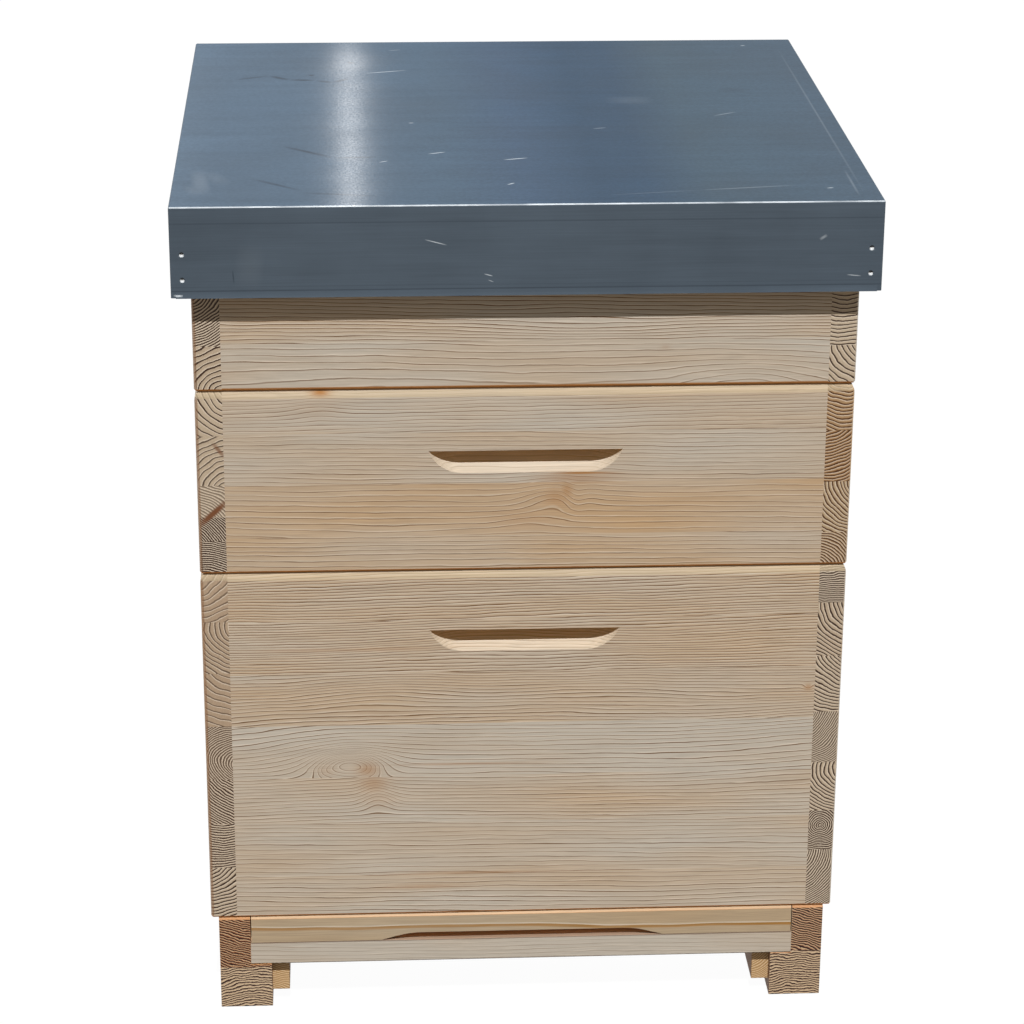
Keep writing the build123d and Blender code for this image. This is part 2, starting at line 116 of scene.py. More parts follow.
# Worn places and painted light, colour and share: painted warm bounce light on undersides in shade, worn arrises
# also painted darker as shade, painted shade on the left corners, milled bevels, the hand-hold painted pale in the
# sun below the noon shadow and golden as bounce light above it, the sill painted darker where the sun falls and
# bright behind that line under the arch, the arch painted bright as bounce light, its lip, painted shade on inner
# sides, folds, painted shade in the seams and gaps, and runner ends golden and painted lighter over their shadow
wearAndLightLook = {
    "under": ("#d08a45", 1.0), "arris": ("#a87440", 0.8), "corner": ("#7d5636", 0.55), "bevel": ("#b5a386", 0.65),
    "milled": ("#c4b49d", 0.5), "hollow": ("#dfb06c", 0.5), "covered": ("#8a6b52", 0.8), "inner": ("#f0c596", 0.9),
    "arch": ("#e8b98c", 0.9), "lip": ("#c4a079", 0.6), "inside": ("#8a5c36", 0.75), "fold": ("#b0753f", 0.7),
    "seamLine": ("#54402d", 0.85), "batten": ("#c9a473", 0.35),
}
# Grain of every wood, lengths in mm: widths of years vary over a stretch, a line has its core and end, the bright edge
# its width and share; lines fade where a face meets the rings flat, differ in depth and have breaks; fibres are
# coarser than real ones so that they show, and patches differ in tone; a face that looks along the grain is sawn
grainForm = {
    "years": 14, "yearSwing": 0.5, "lineCore": 0.5, "lineEnd": 0.15, "early": 1.0, "earlyShare": 0.7,
    "steep": (0.1, 0.7), "flatShare": 0.08, "depth": (0.6, 1.0), "breaks": (65, 5, 5), "breakShare": (0.65, 1.15),
    "fibre": (80, 1, 1), "fibreShade": (0.88, 1.09), "patch": (170, 30, 30), "patchMiddle": 0.5,
    "bumpStrength": 0.2, "bumpDepth": 0.12, "gloss": 0.3, "sawnFrom": 0.85,
}
noiseSpan = (0.3, 0.7)  # where most of a noise lies


# Noise drawn out to the given lengths
def stretchedNoise(add, place, lengths, detail, **inputs):
    scaled = add("VectorMath", [place, [1 / v for v in lengths]], "MULTIPLY")
    return add("TexNoise", {"Vector": scaled, "Scale": 1.0, "Detail": detail, **inputs}).outputs


# Colour made darker and lighter by a noise, between two shares
def mottled(add, colour, noise, shares):
    shade = add("MapRange", [noise, *noiseSpan, *shares])
    return add("VectorMath", {0: colour, 3: shade}, "SCALE").outputs[0]


# A straight mark on a face, from its middle, half length and rise, fading to its ends and sides
def strokeMark(add, place, share, x, v, half, rise, width, up):
    middle, run, side = Vector((x * mm, 0, 0)), Vector((half, 0, 0)), Vector((-rise, 0, 0))
    middle[up], run[up], side[up] = v * mm, rise, half
    off = add("VectorMath", [place, middle], "SUBTRACT")
    for direction, reachMm in ((run.normalized(), run.length), (side.normalized(), width)):
        far = add("VectorMath", [off, direction / (reachMm * mm)], "DOT_PRODUCT").outputs["Value"]
        near = add("Math", [far, far], "MULTIPLY")
        near = add("Math", [1.0, near], "SUBTRACT", use_clamp=True)
        share = add("Math", [share, near], "MULTIPLY")
    return share


# Distance from the pith in mm, with the slow sway of the trunk and ripples, calmer on sawn ends
def pithDistance(add, look, grain, calm):
    bent = grain
    for (length, width, size), share in ((look["sway"], 1.0), (look["ripple"], calm)):
        noise = stretchedNoise(add, grain, (length, width, width), 2.0)
        centred = add("VectorMath", [noise["Color"], (0.5, 0.5, 0.5)], "SUBTRACT")
        centred = add("VectorMath", {0: centred, 3: share}, "SCALE")
        bent = add("VectorMath", [centred, (0.0, size, size), bent], "MULTIPLY_ADD")
    across = add("VectorMath", [bent, (0.0, 1.0, 1.0)], "MULTIPLY")
    radius = add("VectorMath", [across], "LENGTH").outputs["Value"]
    along = add("SeparateXYZ", [grain]).outputs[0]
    return bent, add("Math", [along, look["taper"], radius], "MULTIPLY_ADD")


# Wood cut from round logs: rings lie round a pith line, so faces and ends show one and the same grain.
# grainPoint: mm along the grain and off the pith; sideStep: 1 mm on the face across the grain; lamella: ring width,
# tint, end-grain share, contrast; wear: colour and share of wear and of painted light and shade
def woodMaterial(name, look, knots=(), branches=()):
    material, add = newMaterial(name)
    form = grainForm
    grain = add("Attribute", attribute_name="grainPoint").outputs["Vector"]
    lamella = add("Attribute", attribute_name="lamella")
    contrast = lamella.outputs["Alpha"]
    ringWidth, tint, endShare = add("SeparateXYZ", [lamella.outputs["Vector"]]).outputs
    sideStep = add("Attribute", attribute_name="sideStep").outputs["Vector"]
    wear = add("Attribute", attribute_name="wear").outputs

    # how steeply the rings meet the face
    calm = add("MapRange", {0: endShare, 3: 1.0, 4: look["endRipple"]})
    bent, radius = pithDistance(add, look, grain, calm)
    beside = add("VectorMath", [grain, sideStep], "ADD")
    steep = add("Math", [pithDistance(add, look, beside, calm)[1], radius], "SUBTRACT")
    steep = add("Math", [steep], "ABSOLUTE")

    # knots push the rings aside round a branch
    place = add("TexCoord").outputs["Object"]
    height = add("SeparateXYZ", [place]).outputs[2]
    stain = None
    for x, z, halfX, halfZ, push, stained, *limits in knots:
        off = add("VectorMath", [place, (x * mm, 0.0, z * mm)], "SUBTRACT")
        off = add("VectorMath", [off, (1 / (halfX * mm), 0.0, 1 / (halfZ * mm))], "MULTIPLY")
        far = add("VectorMath", [off, off], "DOT_PRODUCT").outputs["Value"]
        far = add("Math", [far, -1.0], "MULTIPLY")
        near = add("Math", [far], "EXPONENT")
        for limit, side in zip(limits, ("GREATER_THAN", "LESS_THAN")):
            inside = add("Math", [height, limit * mm], side)
            near = add("Math", [near, inside], "MULTIPLY")
        radius = add("Math", [near, push, radius], "MULTIPLY_ADD")
        if stained:
            amount = add("Math", [near, stained], "MULTIPLY")
            stain = amount if stain is None else add("Math", [stain, amount], "MAXIMUM")

    # each year ends in a thin dark line and begins with a bright edge
    years = add("Math", [radius, 1 / form["years"]], "MULTIPLY")
    years = add("TexNoise", {"W": years, "Scale": 1.0, "Detail": 2.0}, noise_dimensions="1D")
    years = add("Math", [years, form["yearSwing"]], "MULTIPLY")
    phase = add("Math", [radius, ringWidth], "DIVIDE")
    phase = add("Math", [phase, years], "ADD")
    within = add("Math", [phase], "FRACT")
    year = add("Math", [phase], "FLOOR")
    grown = add("Math", [within, ringWidth], "MULTIPLY")
    left = add("Math", [ringWidth, grown], "SUBTRACT")
    width = add("MapRange", {0: endShare, 3: look["lineWidth"], 4: look["endLineWidth"]})
    core = add("Math", [width, form["lineCore"]], "MULTIPLY")
    rise = add("MapRange", [left, width, core], interpolation_type="SMOOTHSTEP")
    fall = add("MapRange", [left, 0.0, form["lineEnd"]])
    line = add("Math", [rise, fall], "MULTIPLY")
    early = add("MapRange", [grown, 0.0, form["early"], form["earlyShare"], 0.0])

    # lines are uneven on the faces, and pale where the rings lie flat
    flat = add("MapRange", [steep, *form["steep"], form["flatShare"], 1.0])
    depth = add("TexWhiteNoise", {"W": year}, noise_dimensions="1D").outputs["Value"]
    depth = add("MapRange", [depth, 0.0, 1.0, *form["depth"]])
    breaks = stretchedNoise(add, grain, form["breaks"], 1.0)["Fac"]
    breaks = add("MapRange", [breaks, *noiseSpan, *form["breakShare"]])
    uneven = depth
    for share in (breaks, contrast, flat):
        uneven = add("Math", [uneven, share], "MULTIPLY")
    faceLine = add("Math", [line, uneven], "MULTIPLY", use_clamp=True)
    faceEarly = add("Math", [early, uneven], "MULTIPLY", use_clamp=True)
    endLine = add("Math", [line, contrast], "MULTIPLY", use_clamp=True)

    fibre = stretchedNoise(add, bent, form["fibre"], 2.0)["Fac"]
    patch = stretchedNoise(add, grain, form["patch"], 1.0)["Fac"]
    warmth = add("Math", [patch, tint], "ADD")
    warmth = add("Math", [warmth, form["patchMiddle"]], "SUBTRACT", use_clamp=True)

    # from the plain wood over its bright edges to its lines, on the faces and on the ends
    tones = []
    for first, second, steps in (("pale", "warm", ((warmth, None), (faceEarly, "bright"), (faceLine, "line"))),
                                 ("endPale", "endRed", ((tint, None), (early, "endBright"), (endLine, "endLine")))):
        tone = linear(look[first])
        for share, key in steps:
            tone = add("Mix", {0: share, 6: tone, 7: linear(look[key or second])}, data_type="RGBA").outputs[2]
        tones.append(tone)
    colour = add("Mix", {0: endShare, 6: tones[0], 7: tones[1]}, data_type="RGBA").outputs[2]
    for x, z, half, rise, width, strength in branches:  # sawn across in the end grain
        mark = strokeMark(add, place, endShare, x, z, half, rise, width, 2)
        mark = add("Math", [mark, strength], "MULTIPLY", use_clamp=True)
        colour = add("Mix", {0: mark, 6: colour, 7: linear(look["branch"])}, data_type="RGBA").outputs[2]
    colour = add("Mix", {0: wear["Alpha"], 6: colour, 7: wear["Color"]}, data_type="RGBA").outputs[2]
    if stain:
        colour = add("Mix", {0: stain, 6: colour, 7: linear(look["stain"])}, data_type="RGBA").outputs[2]
    colour = mottled(add, colour, fibre, form["fibreShade"])
    rough = add("MapRange", [fibre, 0.0, 1.0, *look["roughness"]])
    bump = add("Bump", {"Height": fibre, "Strength": form["bumpStrength"], "Distance": form["bumpDepth"] * mm})
    shader = add("BsdfPrincipled", {"Base Color": colour, "Roughness": rough, "Normal": bump,
                                    "Specular IOR Level": form["gloss"]})
    add("OutputMaterial", [shader])
    return material


# Glue lines, in mm above the lower edge; then for each lamella, from below: where the pith lay (depth behind the outer
# face, height from the lamella's middle), ring width, tint from grey-beige 0 to red-brown 1, and line contrast
boards = {
    "brood_front": ([38.5, 88.5, 132.5, 181.5, 229.5, 277.5], [
        (18, -75, 4.2, 0.3, 1.25), (30, -70, 3.8, 0.2, 0.95), (25, -80, 3.2, 0.22, 1.0),
        (14, -100, 4.2, 0.02, 1.15), (15, -90, 2.9, 0.36, 1.2), (10, 95, 2.4, 0.4, 1.25), (14, 80, 2.5, 0.5, 1.45)]),
    "super_front": ([31, 77, 122], [
        (20, -70, 4.1, 0.5, 1.15), (26, -60, 4.6, 0.68, 0.95), (10, -90, 3.6, 0.25, 0.9), (15, 90, 3.2, 0.3, 0.9)]),
    "rim_front": ([40, 88], [(40, -42, 4.6, 0.15, 1.1), (25, -80, 2.9, 0.22, 1.35), (10, 90, 3.0, 0.3, 1.3)]),
    "rim_left": ([38, 86], [(26, -22, 4.4, 0.2, 1.2), (-6, 30, 2.3, 0.1, 1.3), (20, -40, 3.0, 0.3, 1.2)]),
    "rim_right": ([33, 84], [(-4, 18, 4.0, 0.1, 1.0), (12, 70, 3.6, 0.05, 1.1), (20, 40, 3.0, 0.3, 1.0)]),
    "super_left": ([29, 50, 78, 121], [
        (5, -60, 1.9, 0.2, 1.3), (-20, -35, 1.8, 0.25, 1.2), (-25, -60, 2.2, 0.2, 0.6), (30, -30, 4.5, 0.15, 0.9),
        (40, 32, 5.0, 0.15, 1.1)]),
    "super_right": ([29, 74, 119], [
        (27, -22, 2.4, 0.5, 1.0), (-10, 22, 3.0, 0.25, 1.0), (26, 45, 2.7, 0.9, 1.0), (5, 34, 3.2, 0.7, 1.0)]),
    "brood_left": ([48.5, 90.5, 132.5, 182.5, 231.5, 278.5], [
        (-10, 45, 3.2, 0.15, 1.6), (12, 60, 2.4, 0.3, 1.2), (40, 45, 2.2, 0.4, 1.0), (25, -10, 1.9, 0.5, 0.8),
        (45, 60, 5.4, 0.5, 0.7), (32, 20, 4.2, 0.45, 0.8), (-10, 35, 5.0, 0.5, 0.65)]),
    "brood_right": ([54.5, 92.5, 138.5, 186.5, 238.5, 287.5], [
        (45, 30, 2.0, 0.15, 0.9), (12, 5, 1.8, 0.2, 1.0), (-6, 20, 3.0, 0.15, 1.0), (40, 30, 1.8, 0.2, 0.8),
        (-5, 35, 3.2, 0.15, 1.1), (-8, 22, 3.4, 0.25, 1.2), (10, -70, 1.7, 0.15, 0.9)]),
    "floor_rail_left": ([39], [(30, -110, 2.5, 0.15, 1.3), (50, 100, 2.2, 1.0, 1.0)]),
    "floor_rail_right": ([44], [(20, -120, 2.4, 0.25, 1.2), (-24, 96, 2.3, 0.85, 1.8)]),
    "floor_sill": ([], [(30, -60, 3.6, 0.02, 0.5)]),
    "entrance_block": ([], [(14, -85, 17.0, 0.42, 1.05)]),
    "tray_runner_left": ([], [(30, 60, 1.9, 0.3)]),
    "tray_runner_right": ([], [(40, 50, 1.9, 0.3)]),
}
# Branches in the front boards: place and half size on the face, push and stain, in mm and shares, some kept between
# two joints; wide weak ones are where the stem bent
knots = {
    "brood_front": [
        (-149, 233, 27, 13, -33.4, 0.0, 221, 270), (-150, 242, 46, 16, -5, 0.0, 221, 270),
        (-133, 228, 10, 7, -3, 0.5, 221, 270), (-169, 227, 8, 6, -3, 0.15, 221, 270),
        (-124, 200, 15, 12, -8, 0.15, 177, 221), (-128, 215, 12, 9, -4, 0.4, 177, 221),
        (-118, 300, 60, 14, -6, 0.0), (242, 298, 4, 3, 3, 0.5), (-83, 115, 34, 2, 0, 0.3),
        (-268, 245, 80, 45, 10, 0.0), (280, 250, 90, 45, -11, 0.0), (60, 300, 80, 14, -4, 0.0),
        (-40, 345, 60, 12, 3, 0.0), (130, 350, 70, 14, -3, 0.0), (-47, 232, 60, 1.3, 0, 0.4),
        (-40, 127.5, 70, 1.3, 0, 0.4), (-150, 340, 90, 1.6, 0, 0.3),
    ],
    "super_front": [
        (24, 474, 24, 15, -11, 0.1), (41, 474, 9, 13, 6, 0.0), (25, 474, 11, 9, 0, 0.4), (34, 481, 5, 7, 0, 0.5),
        (40, 491.5, 34, 5, 0, 0.5), (46, 495.7, 26, 1.2, 0, 1.0), (-168, 568.5, 8, 3.6, 3, 1.0),
        (-170, 555, 22, 10, 4, 0.12), (0, 455, 26, 9, -4, 0.2),
    ],
    "rim_front": [(185, 573, 62, 20, -12, 0.0), (113, 604, 4, 2, 0, 0.2), (26, 622, 60, 8, 3, 0.0)],
}
# Branches sawn across in the end grain: middle, half length and rise, half width in mm, and strength
branches = {"super_left": [(-257.2, 464.7, 14, 12.6, 3.2, 1.2), (-251.5, 520, 5.5, -7.2, 2.2, 0.8)]}
ownLook = {"super_right": goldWood}
plainPine = woodMaterial("planed pine", pine)
boardPine = {}
for name in (*knots, *branches, *ownLook):
    title = "planed pine, " + name.replace("_", " ")
    boardPine[name] = woodMaterial(title, ownLook.get(name, pine), knots.get(name, ()), branches.get(name, ()))
railPine = woodMaterial("planed pine, wavy", railWood)
blockPine = woodMaterial("planed pine, resinous", blockWood)
limeWood = woodMaterial("planed lime wood", frameWood)
roughPine = woodMaterial("sawn pine", sawnWood)
print("wood materials done")

# Lamellas that the photograph doesn't show, drawn at random: a joint's shift as a share of the step, the rest as above
unseen = {"step": 46, "shift": 0.08, "pithDepth": (-15, 50), "pithHeight": (20, 90), "ring": (2.2, 4.6),
          "tint": (0.1, 0.5), "contrast": (0.75, 1.1), "along": 9000}


def lamellaStack(name, count, step=unseen["step"]):
    rng = random.Random(name)
    joints = [step * (i + 1) + rng.uniform(-unseen["shift"], unseen["shift"]) * step for i in range(count - 1)]
    piths = [(rng.uniform(*unseen["pithDepth"]), rng.choice((-1, 1)) * rng.uniform(*unseen["pithHeight"]))
             for i in range(count)]
    rings = [rng.uniform(*unseen["ring"]) for i in range(count)]
    return joints, [(*pith, ring, rng.uniform(*unseen["tint"])) for pith, ring in zip(piths, rings)]


def reach(faces):
    points = [v.co for f in faces for v in f.verts]
    return [Vector([pick(p[i] for p in points) for i in range(3)]) for pick in (min, max)]


def cadCopy(name):
    bm = bmesh.new()
    bm.from_mesh(nodes[name].data)
    bmesh.ops.remove_doubles(bm, verts=bm.verts, dist=tiny)
    bmesh.ops.dissolve_limit(bm, angle_limit=math.radians(0.5), verts=bm.verts, edges=bm.edges)
    return bm


# Arrises are sharper than an angle and longer than the least run; the outer ones lie on the skin of the boxes
arris = {"angle": math.radians(20), "sharp": math.radians(32), "skin": 262 * mm, "run": 20 * mm,
         "upright": 0.9, "board": 15 * mm, "bar": 10 * mm, "frame": 7 * mm}


def isArris(edge, least):
    if len(edge.link_faces) != 2 or edge.calc_length() < least:
        return False
    return edge.calc_face_angle_signed() > arris["angle"]


def onOuterSkin(place):
    return abs(place.x) > arris["skin"], abs(place.y) > arris["skin"]


def edgeMiddle(edge):
    return (edge.verts[0].co + edge.verts[1].co) / 2


def outerArris(edge):
    onSide, onEnd = onOuterSkin(edgeMiddle(edge))
    run = edge.verts[1].co - edge.verts[0].co
    return (onSide and abs(run.y) > arris["run"]) or (onEnd and abs(run.x) > arris["run"])


def standingArris(edge):
    return all(onOuterSkin(edgeMiddle(edge))) and abs(edge.verts[1].co.z - edge.verts[0].co.z) > arris["run"]


def upright(edge):
    return abs(edge.verts[1].co.z - edge.verts[0].co.z) > arris["upright"] * edge.calc_length()


def soften(bm, edges, size, segments=2):
    bmesh.ops.bevel(bm, geom=edges, offset=size, offset_type="OFFSET", segments=segments, profile=0.5,
                    affect="EDGES", clamp_overlap=True)


# Top of the bevel, under the next box's edge, where the strip in its shadow is painted warm shade, and the hand-hold
# milled in the middle of the end boards; the noon shadow falls by "shade" for each mm of depth. How far faces look
# up: lower edges, their undersides, slants
zones = {"seam": 1.2 * mm, "edge": 12 * mm, "holdHalf": 105 * mm, "holdDeep": 250 * mm, "holdOuter": 269.9 * mm,
         "shade": 1.48, "lower": (-0.97, -0.15), "under": -0.5, "slant": 0.2}
# The bevels and lower edges that the eye sees, then where the frame's own lie: below the top, in from the face, above
# the lower edge
edgeForm = {"outer": 270 * mm, "bevelRun": 3.2 * mm, "bevelRise": 6.4 * mm, "drip": 1.6 * mm,
            "cadBevel": 8 * mm, "cadFoot": 5 * mm, "cadIn": 5 * mm, "cadDrip": 4 * mm, "cadDripIn": (4 * mm, 2 * mm),
            "cadDripTop": 1 * mm, "easedFrom": 9 * mm}


# The eye sees steeper bevels and finer lower edges on the boxes than the frame's
def fineEdges(bm, low, high, form):
    for v in bm.verts:
        onSide, onEnd = onOuterSkin(v.co)
        if not (onSide or onEnd):
            continue
        if v.co.z > high.z - form["cadBevel"]:
            if onEnd and abs(v.co.y) < form["outer"] - form["cadIn"]:
                v.co.y = math.copysign(form["outer"] - form["bevelRun"], v.co.y)
            if v.co.z < high.z - form["cadFoot"]:
                v.co.z = high.z - form["bevelRise"]
        elif v.co.z < low.z + form["cadDrip"]:
            for i in range(2):
                if form["outer"] - form["cadDripIn"][0] < abs(v.co[i]) < form["outer"] - form["cadDripIn"][1]:
                    v.co[i] = math.copysign(form["outer"] - form["drip"], v.co[i])
            if v.co.z > low.z + form["cadDripTop"]:
                v.co.z = low.z + form["drip"]


def inHold(face, low, high):
    centre = face.calc_center_median()
    inMiddle = abs(centre.x) < zones["holdHalf"] and low.z + zones["edge"] < centre.z < high.z - zones["edge"]
    return inMiddle and zones["holdDeep"] < abs(centre.y) < zones["holdOuter"]


def wearAndLightKind(face, low, high, holdTop):
    centre, rising = face.calc_center_median(), face.normal.z
    onSide, onEnd = onOuterSkin(centre)
    # hand-hold: painted sunlit tone below the noon shadow, painted golden bounce light above it
    if inHold(face, low, high):
        shade = holdTop - zones["shade"] * (edgeForm["outer"] - abs(centre.y))
        return "hollow" if centre.z > shade else "milled"
    least, most = zones["lower"]
    # lower edges: the arris worn and painted darker as shade; the underside, in shade, painted with warm bounce light
    if (onSide or onEnd) and centre.z < low.z + zones["edge"] and least < rising < most:
        return "under" if rising < zones["under"] else "arris"
    # top of the bevel: the strip in the next box's shadow is painted warm shade; the bevel below keeps its tone
    if (onSide or onEnd) and centre.z > high.z - zones["edge"] and rising > zones["slant"]:
        return "arris" if centre.z > high.z - zones["seam"] else "bevel"
    # standing corners: painted shade on the left ones only, which turn away from the sun
    if onSide and onEnd and min(abs(face.normal.x), abs(face.normal.y)) > zones["slant"]:
        return "corner" if centre.x < 0 else None


# Writes the grain on every face corner: axis is along the grain, up is across the lamellas, deep gives the axis and
# the side that depth is counted from
def layGrain(bm, name, axis, deep, up, joints, lamellas, faces=None, wearAndLightOf=None):
    rng = random.Random(name)
    vectors, colours = bm.loops.layers.float_vector, bm.loops.layers.float_color
    points = vectors.get("grainPoint") or vectors.new("grainPoint")
    sideSteps = vectors.get("sideStep") or vectors.new("sideStep")
    strips = colours.get("lamella") or colours.new("lamella")
    wearAndLightLayer = colours.get("wear") or colours.new("wear")
    faces = bm.faces[:] if faces is None else faces
    low, high = reach(faces)
    edges = [0.0] + joints + [(high[up] - low[up]) / mm]
    middles = [(a + b) / 2 for a, b in zip(edges, edges[1:])]
    shifts = [rng.uniform(0, unseen["along"]) for m in middles]
    contrasts = [row[4] if len(row) > 4 else rng.uniform(*unseen["contrast"]) for row in lamellas]
    outer = low[deep[0]] if deep[1] < 0 else high[deep[0]]
    for face in faces:
        k = bisect(joints, (face.calc_center_median()[up] - low[up]) / mm)
        pithDepth, pithHeight, ring, tint = lamellas[k][:4]
        sawn = 1.0 if abs(face.normal[axis]) > grainForm["sawnFrom"] else 0.0
        strip = (ring, tint, sawn, contrasts[k])
        colour, share = wearAndLightLook.get(wearAndLightOf(face) if wearAndLightOf else None, ("#000000", 0.0))
        wear = linear(colour)[:3] + [share]
        sideStep = (0.0, abs(face.normal[up]), abs(face.normal[deep[0]]))
        for loop in face.loops:
            place = loop.vert.co
            depth = deep[1] * (outer - place[deep[0]]) / mm - pithDepth
            height = (place[up] - low[up]) / mm - middles[k] - pithHeight
            loop[points] = (place[axis] / mm + shifts[k], depth, height)
            loop[sideSteps] = sideStep
            loop[strips] = strip
            loop[wearAndLightLayer] = wear


def cutAt(bm, heights, up=2):
    normal = [1.0 if i == up else 0.0 for i in range(3)]
    for height in heights:
        bmesh.ops.bisect_plane(bm, geom=bm.verts[:] + bm.edges[:] + bm.faces[:], dist=tiny,
                               plane_co=[height * n for n in normal], plane_no=normal)


def newObject(name, data):
    added = bpy.data.objects.new(name, data)
    bpy.context.scene.collection.objects.link(added)
    return added


def addPiece(mesh, pieceName, nodeName, stands=True):
    piece = newObject(pieceName, mesh)
    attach(piece, nodes[nodeName]["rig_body"])
    if stands:
        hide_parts(nodeName)
    flat = piece.modifiers.new("flat faces stay flat", "WEIGHTED_NORMAL")
    flat.weight = 100
    flat.keep_sharp = True


def addWork(bm, material, pieceName, nodeName, stands=True):
    mesh = bpy.data.meshes.new(pieceName)
    for face in bm.faces:
        face.smooth = True
    bm.to_mesh(mesh)
    bm.free()
    mesh.set_sharp_from_angle(angle=arris["sharp"])
    mesh.materials.append(material)
    addPiece(mesh, pieceName, nodeName, stands)


# Boards of the boxes and the rim: lamellas glued edge to edge, flush at the laps, outer corners eased
sides = {"front": (0, (1, -1)), "rear": (0, (1, 1)), "left": (1, (0, -1)), "right": (1, (0, 1))}
easing = {"corner": 2.6 * mm, "bevel": 2.4 * mm, "box": 0.8 * mm, "bar": 0.6 * mm, "frame": 0.5 * mm,
          "floor_sill": 1.0 * mm, "entrance_block": 0.9 * mm}
for boxName, count in (("brood", 7), ("super", 4), ("rim", 3)):
    for side, (axis, deep) in sides.items():
        name = f"{boxName}_{side}"
        bm = cadCopy(name)
        low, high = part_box(name)
        joints, lamellas = boards.get(name) or lamellaStack(name, count)
        fineEdges(bm, low, high, edgeForm)
        soften(bm, [e for e in bm.edges if isArris(e, arris["board"]) and standingArris(e)], easing["corner"], 3)
        bevelLow, bevelHigh = high.z - edgeForm["easedFrom"], high.z - edgeForm["cadFoot"]
        for size, segments, onBevel in ((easing["box"], 2, False), (easing["bevel"], 3, True)):
            soften(bm, [e for e in bm.edges if isArris(e, arris["board"]) and outerArris(e)
                        and onBevel == (bevelLow < e.verts[0].co.z < bevelHigh)], size, segments)
        cutAt(bm, [low.z + joint * mm for joint in joints] + [high.z - zones["seam"]])
        hold = [f for f in bm.faces if inHold(f, low, high)]
        holdTop = max((v.co.z for f in hold for v in f.verts), default=high.z)
        if hold:  # cut along the noon shadow: below it the hold is painted sunlit, above it painted golden shade
            around = list({e for f in hold for e in f.edges}) + list({v for f in hold for v in f.verts})
            bmesh.ops.bisect_plane(bm, geom=hold + around, dist=tiny, plane_no=(0, -deep[1] * zones["shade"], 1),
                                   plane_co=(0, deep[1] * edgeForm["outer"], holdTop))
        layGrain(bm, name, axis, deep, 2, joints, lamellas, wearAndLightOf=lambda face: wearAndLightKind(face, low, high, holdTop))
        addWork(bm, boardPine.get(name, plainPine), name + "_board", name)
print("boards done")


# Bars of the floor and the tray pull: one lamella each, the rails two
bars = {"floor_rail_left": "left", "floor_rail_right": "right", "floor_sill": "front", "floor_rear_bar": "rear",
        "entrance_block": "front", "tray_runner_left": "left", "tray_runner_right": "right", "tray_pull": "rear"}
# Wear and painted light of the bars by the direction a face looks in: least and most of one axis of its normal, and
# the kind; the sill's top is painted bright as bounce light behind the line that the sun reaches under the arch, and
# darker in front of it where the sun falls
barWearAndLight = {
    # inner sides of rails and runners: painted shade
    "floor_rail_left": [(2, 0.3, 1.0, "fold"), (0, 0.85, 1.0, "inside")],
    "floor_rail_right": [(2, 0.3, 1.0, "fold"), (0, -1.0, -0.85, "inside")],
    # dark lines at the block's foot and under the sill: painted shade of the gap and of the lower edge
    "floor_sill": [(2, 0.9, 1.0, "inner"), (2, 0.3, 0.7, "seamLine"), (2, -0.95, -0.3, "seamLine")],
    "entrance_block": [(2, 0.15, 0.6, "fold"), (2, 0.6, 1.0, "lip"), (2, -0.9, -0.3, "seamLine"),
                       # the arch's soffit, in shade, painted bright as bounce light
                       (2, -1.0, -0.9, "arch")],
    # runner ends: golden tone, and painted lighter over the sill's shadow
    "tray_runner_left": [(1, -1.0, -0.85, "batten"), (0, 0.85, 1.0, "inside")],
    "tray_runner_right": [(1, -1.0, -0.85, "batten"), (0, -1.0, -0.85, "inside")],
}
sunReach = 5 * mm
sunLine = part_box("entrance_block")[0].y + sunReach


def barWearAndLightKind(face, rules):
    for axis, least, most, kind in rules:
        if least <= face.normal[axis] <= most + 1e-4:
            return "covered" if kind == "inner" and face.calc_center_median().y < sunLine else kind


for name, side in bars.items():
    bm = cadCopy(name)
    low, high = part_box(name)
    joints, lamellas = boards.get(name) or lamellaStack(name, 1)
    soften(bm, [e for e in bm.edges if isArris(e, arris["bar"]) and not (name in easing and upright(e))],
           easing.get(name, easing["bar"]))
    cutAt(bm, [low.z + joint * mm for joint in joints])
    if name == "floor_sill":
        cutAt(bm, [sunLine], up=1)
    layGrain(bm, name, *sides[side], 2, joints, lamellas,
             wearAndLightOf=lambda face: barWearAndLightKind(face, barWearAndLight.get(name, [])))
    wood = railPine if "rail" in name else blockPine if "block" in name or "runner" in name else plainPine
    addWork(bm, wood, name + "_bar", name)

# Roof tray and crown board: wide boards side by side, and battens
wideBoards = {"roof_panel": (6, 95, roughPine, "roof_wood"), "crown_board": (5, 98, plainPine, "inner_wood")}
for name, (count, width, material, slot) in wideBoards.items():
    bm = cadCopy(name)
    low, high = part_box(name)
    joints, lamellas = lamellaStack(name, count, width)
    cutAt(bm, [low.y + joint * mm for joint in joints], up=1)
    layGrain(bm, name, 0, (2, 1), 1, joints, lamellas)
    addWork(bm, material, name + "_wood", name)
for side, (axis, deep) in sides.items():
    name = f"roof_liner_{side}"
    bm = cadCopy(name)
    layGrain(bm, name, axis, (deep[0], 1), 2, *lamellaStack(name, 1))
    addWork(bm, roughPine, name + "_wood", name)
print("floor, crown board and roof woodwork done")


def islands(bm):
    seen, groups = set(), []
    for start in bm.faces:
        if start in seen:
            continue
        group, queue = [], [start]
        seen.add(start)
        while queue:
            face = queue.pop()
            group.append(face)
            for other in (f for edge in face.edges for f in edge.link_faces if f not in seen):
                seen.add(other)
                queue.append(other)
        groups.append(group)
    return groups


# Pressed beeswax: amber, waxy gloss, pressed with cell bases; lengths in mm
waxLook = {"cell": 5.4, "uneven": 0.12, "rim": (0.02, 0.16), "cloud": 60, "light": "#d9a64a", "deep": "#c98f34",
           "rimTone": "#ecc878", "bumpStrength": 0.6, "bumpDepth": 0.8, "roughness": 0.42, "glow": 0.15}


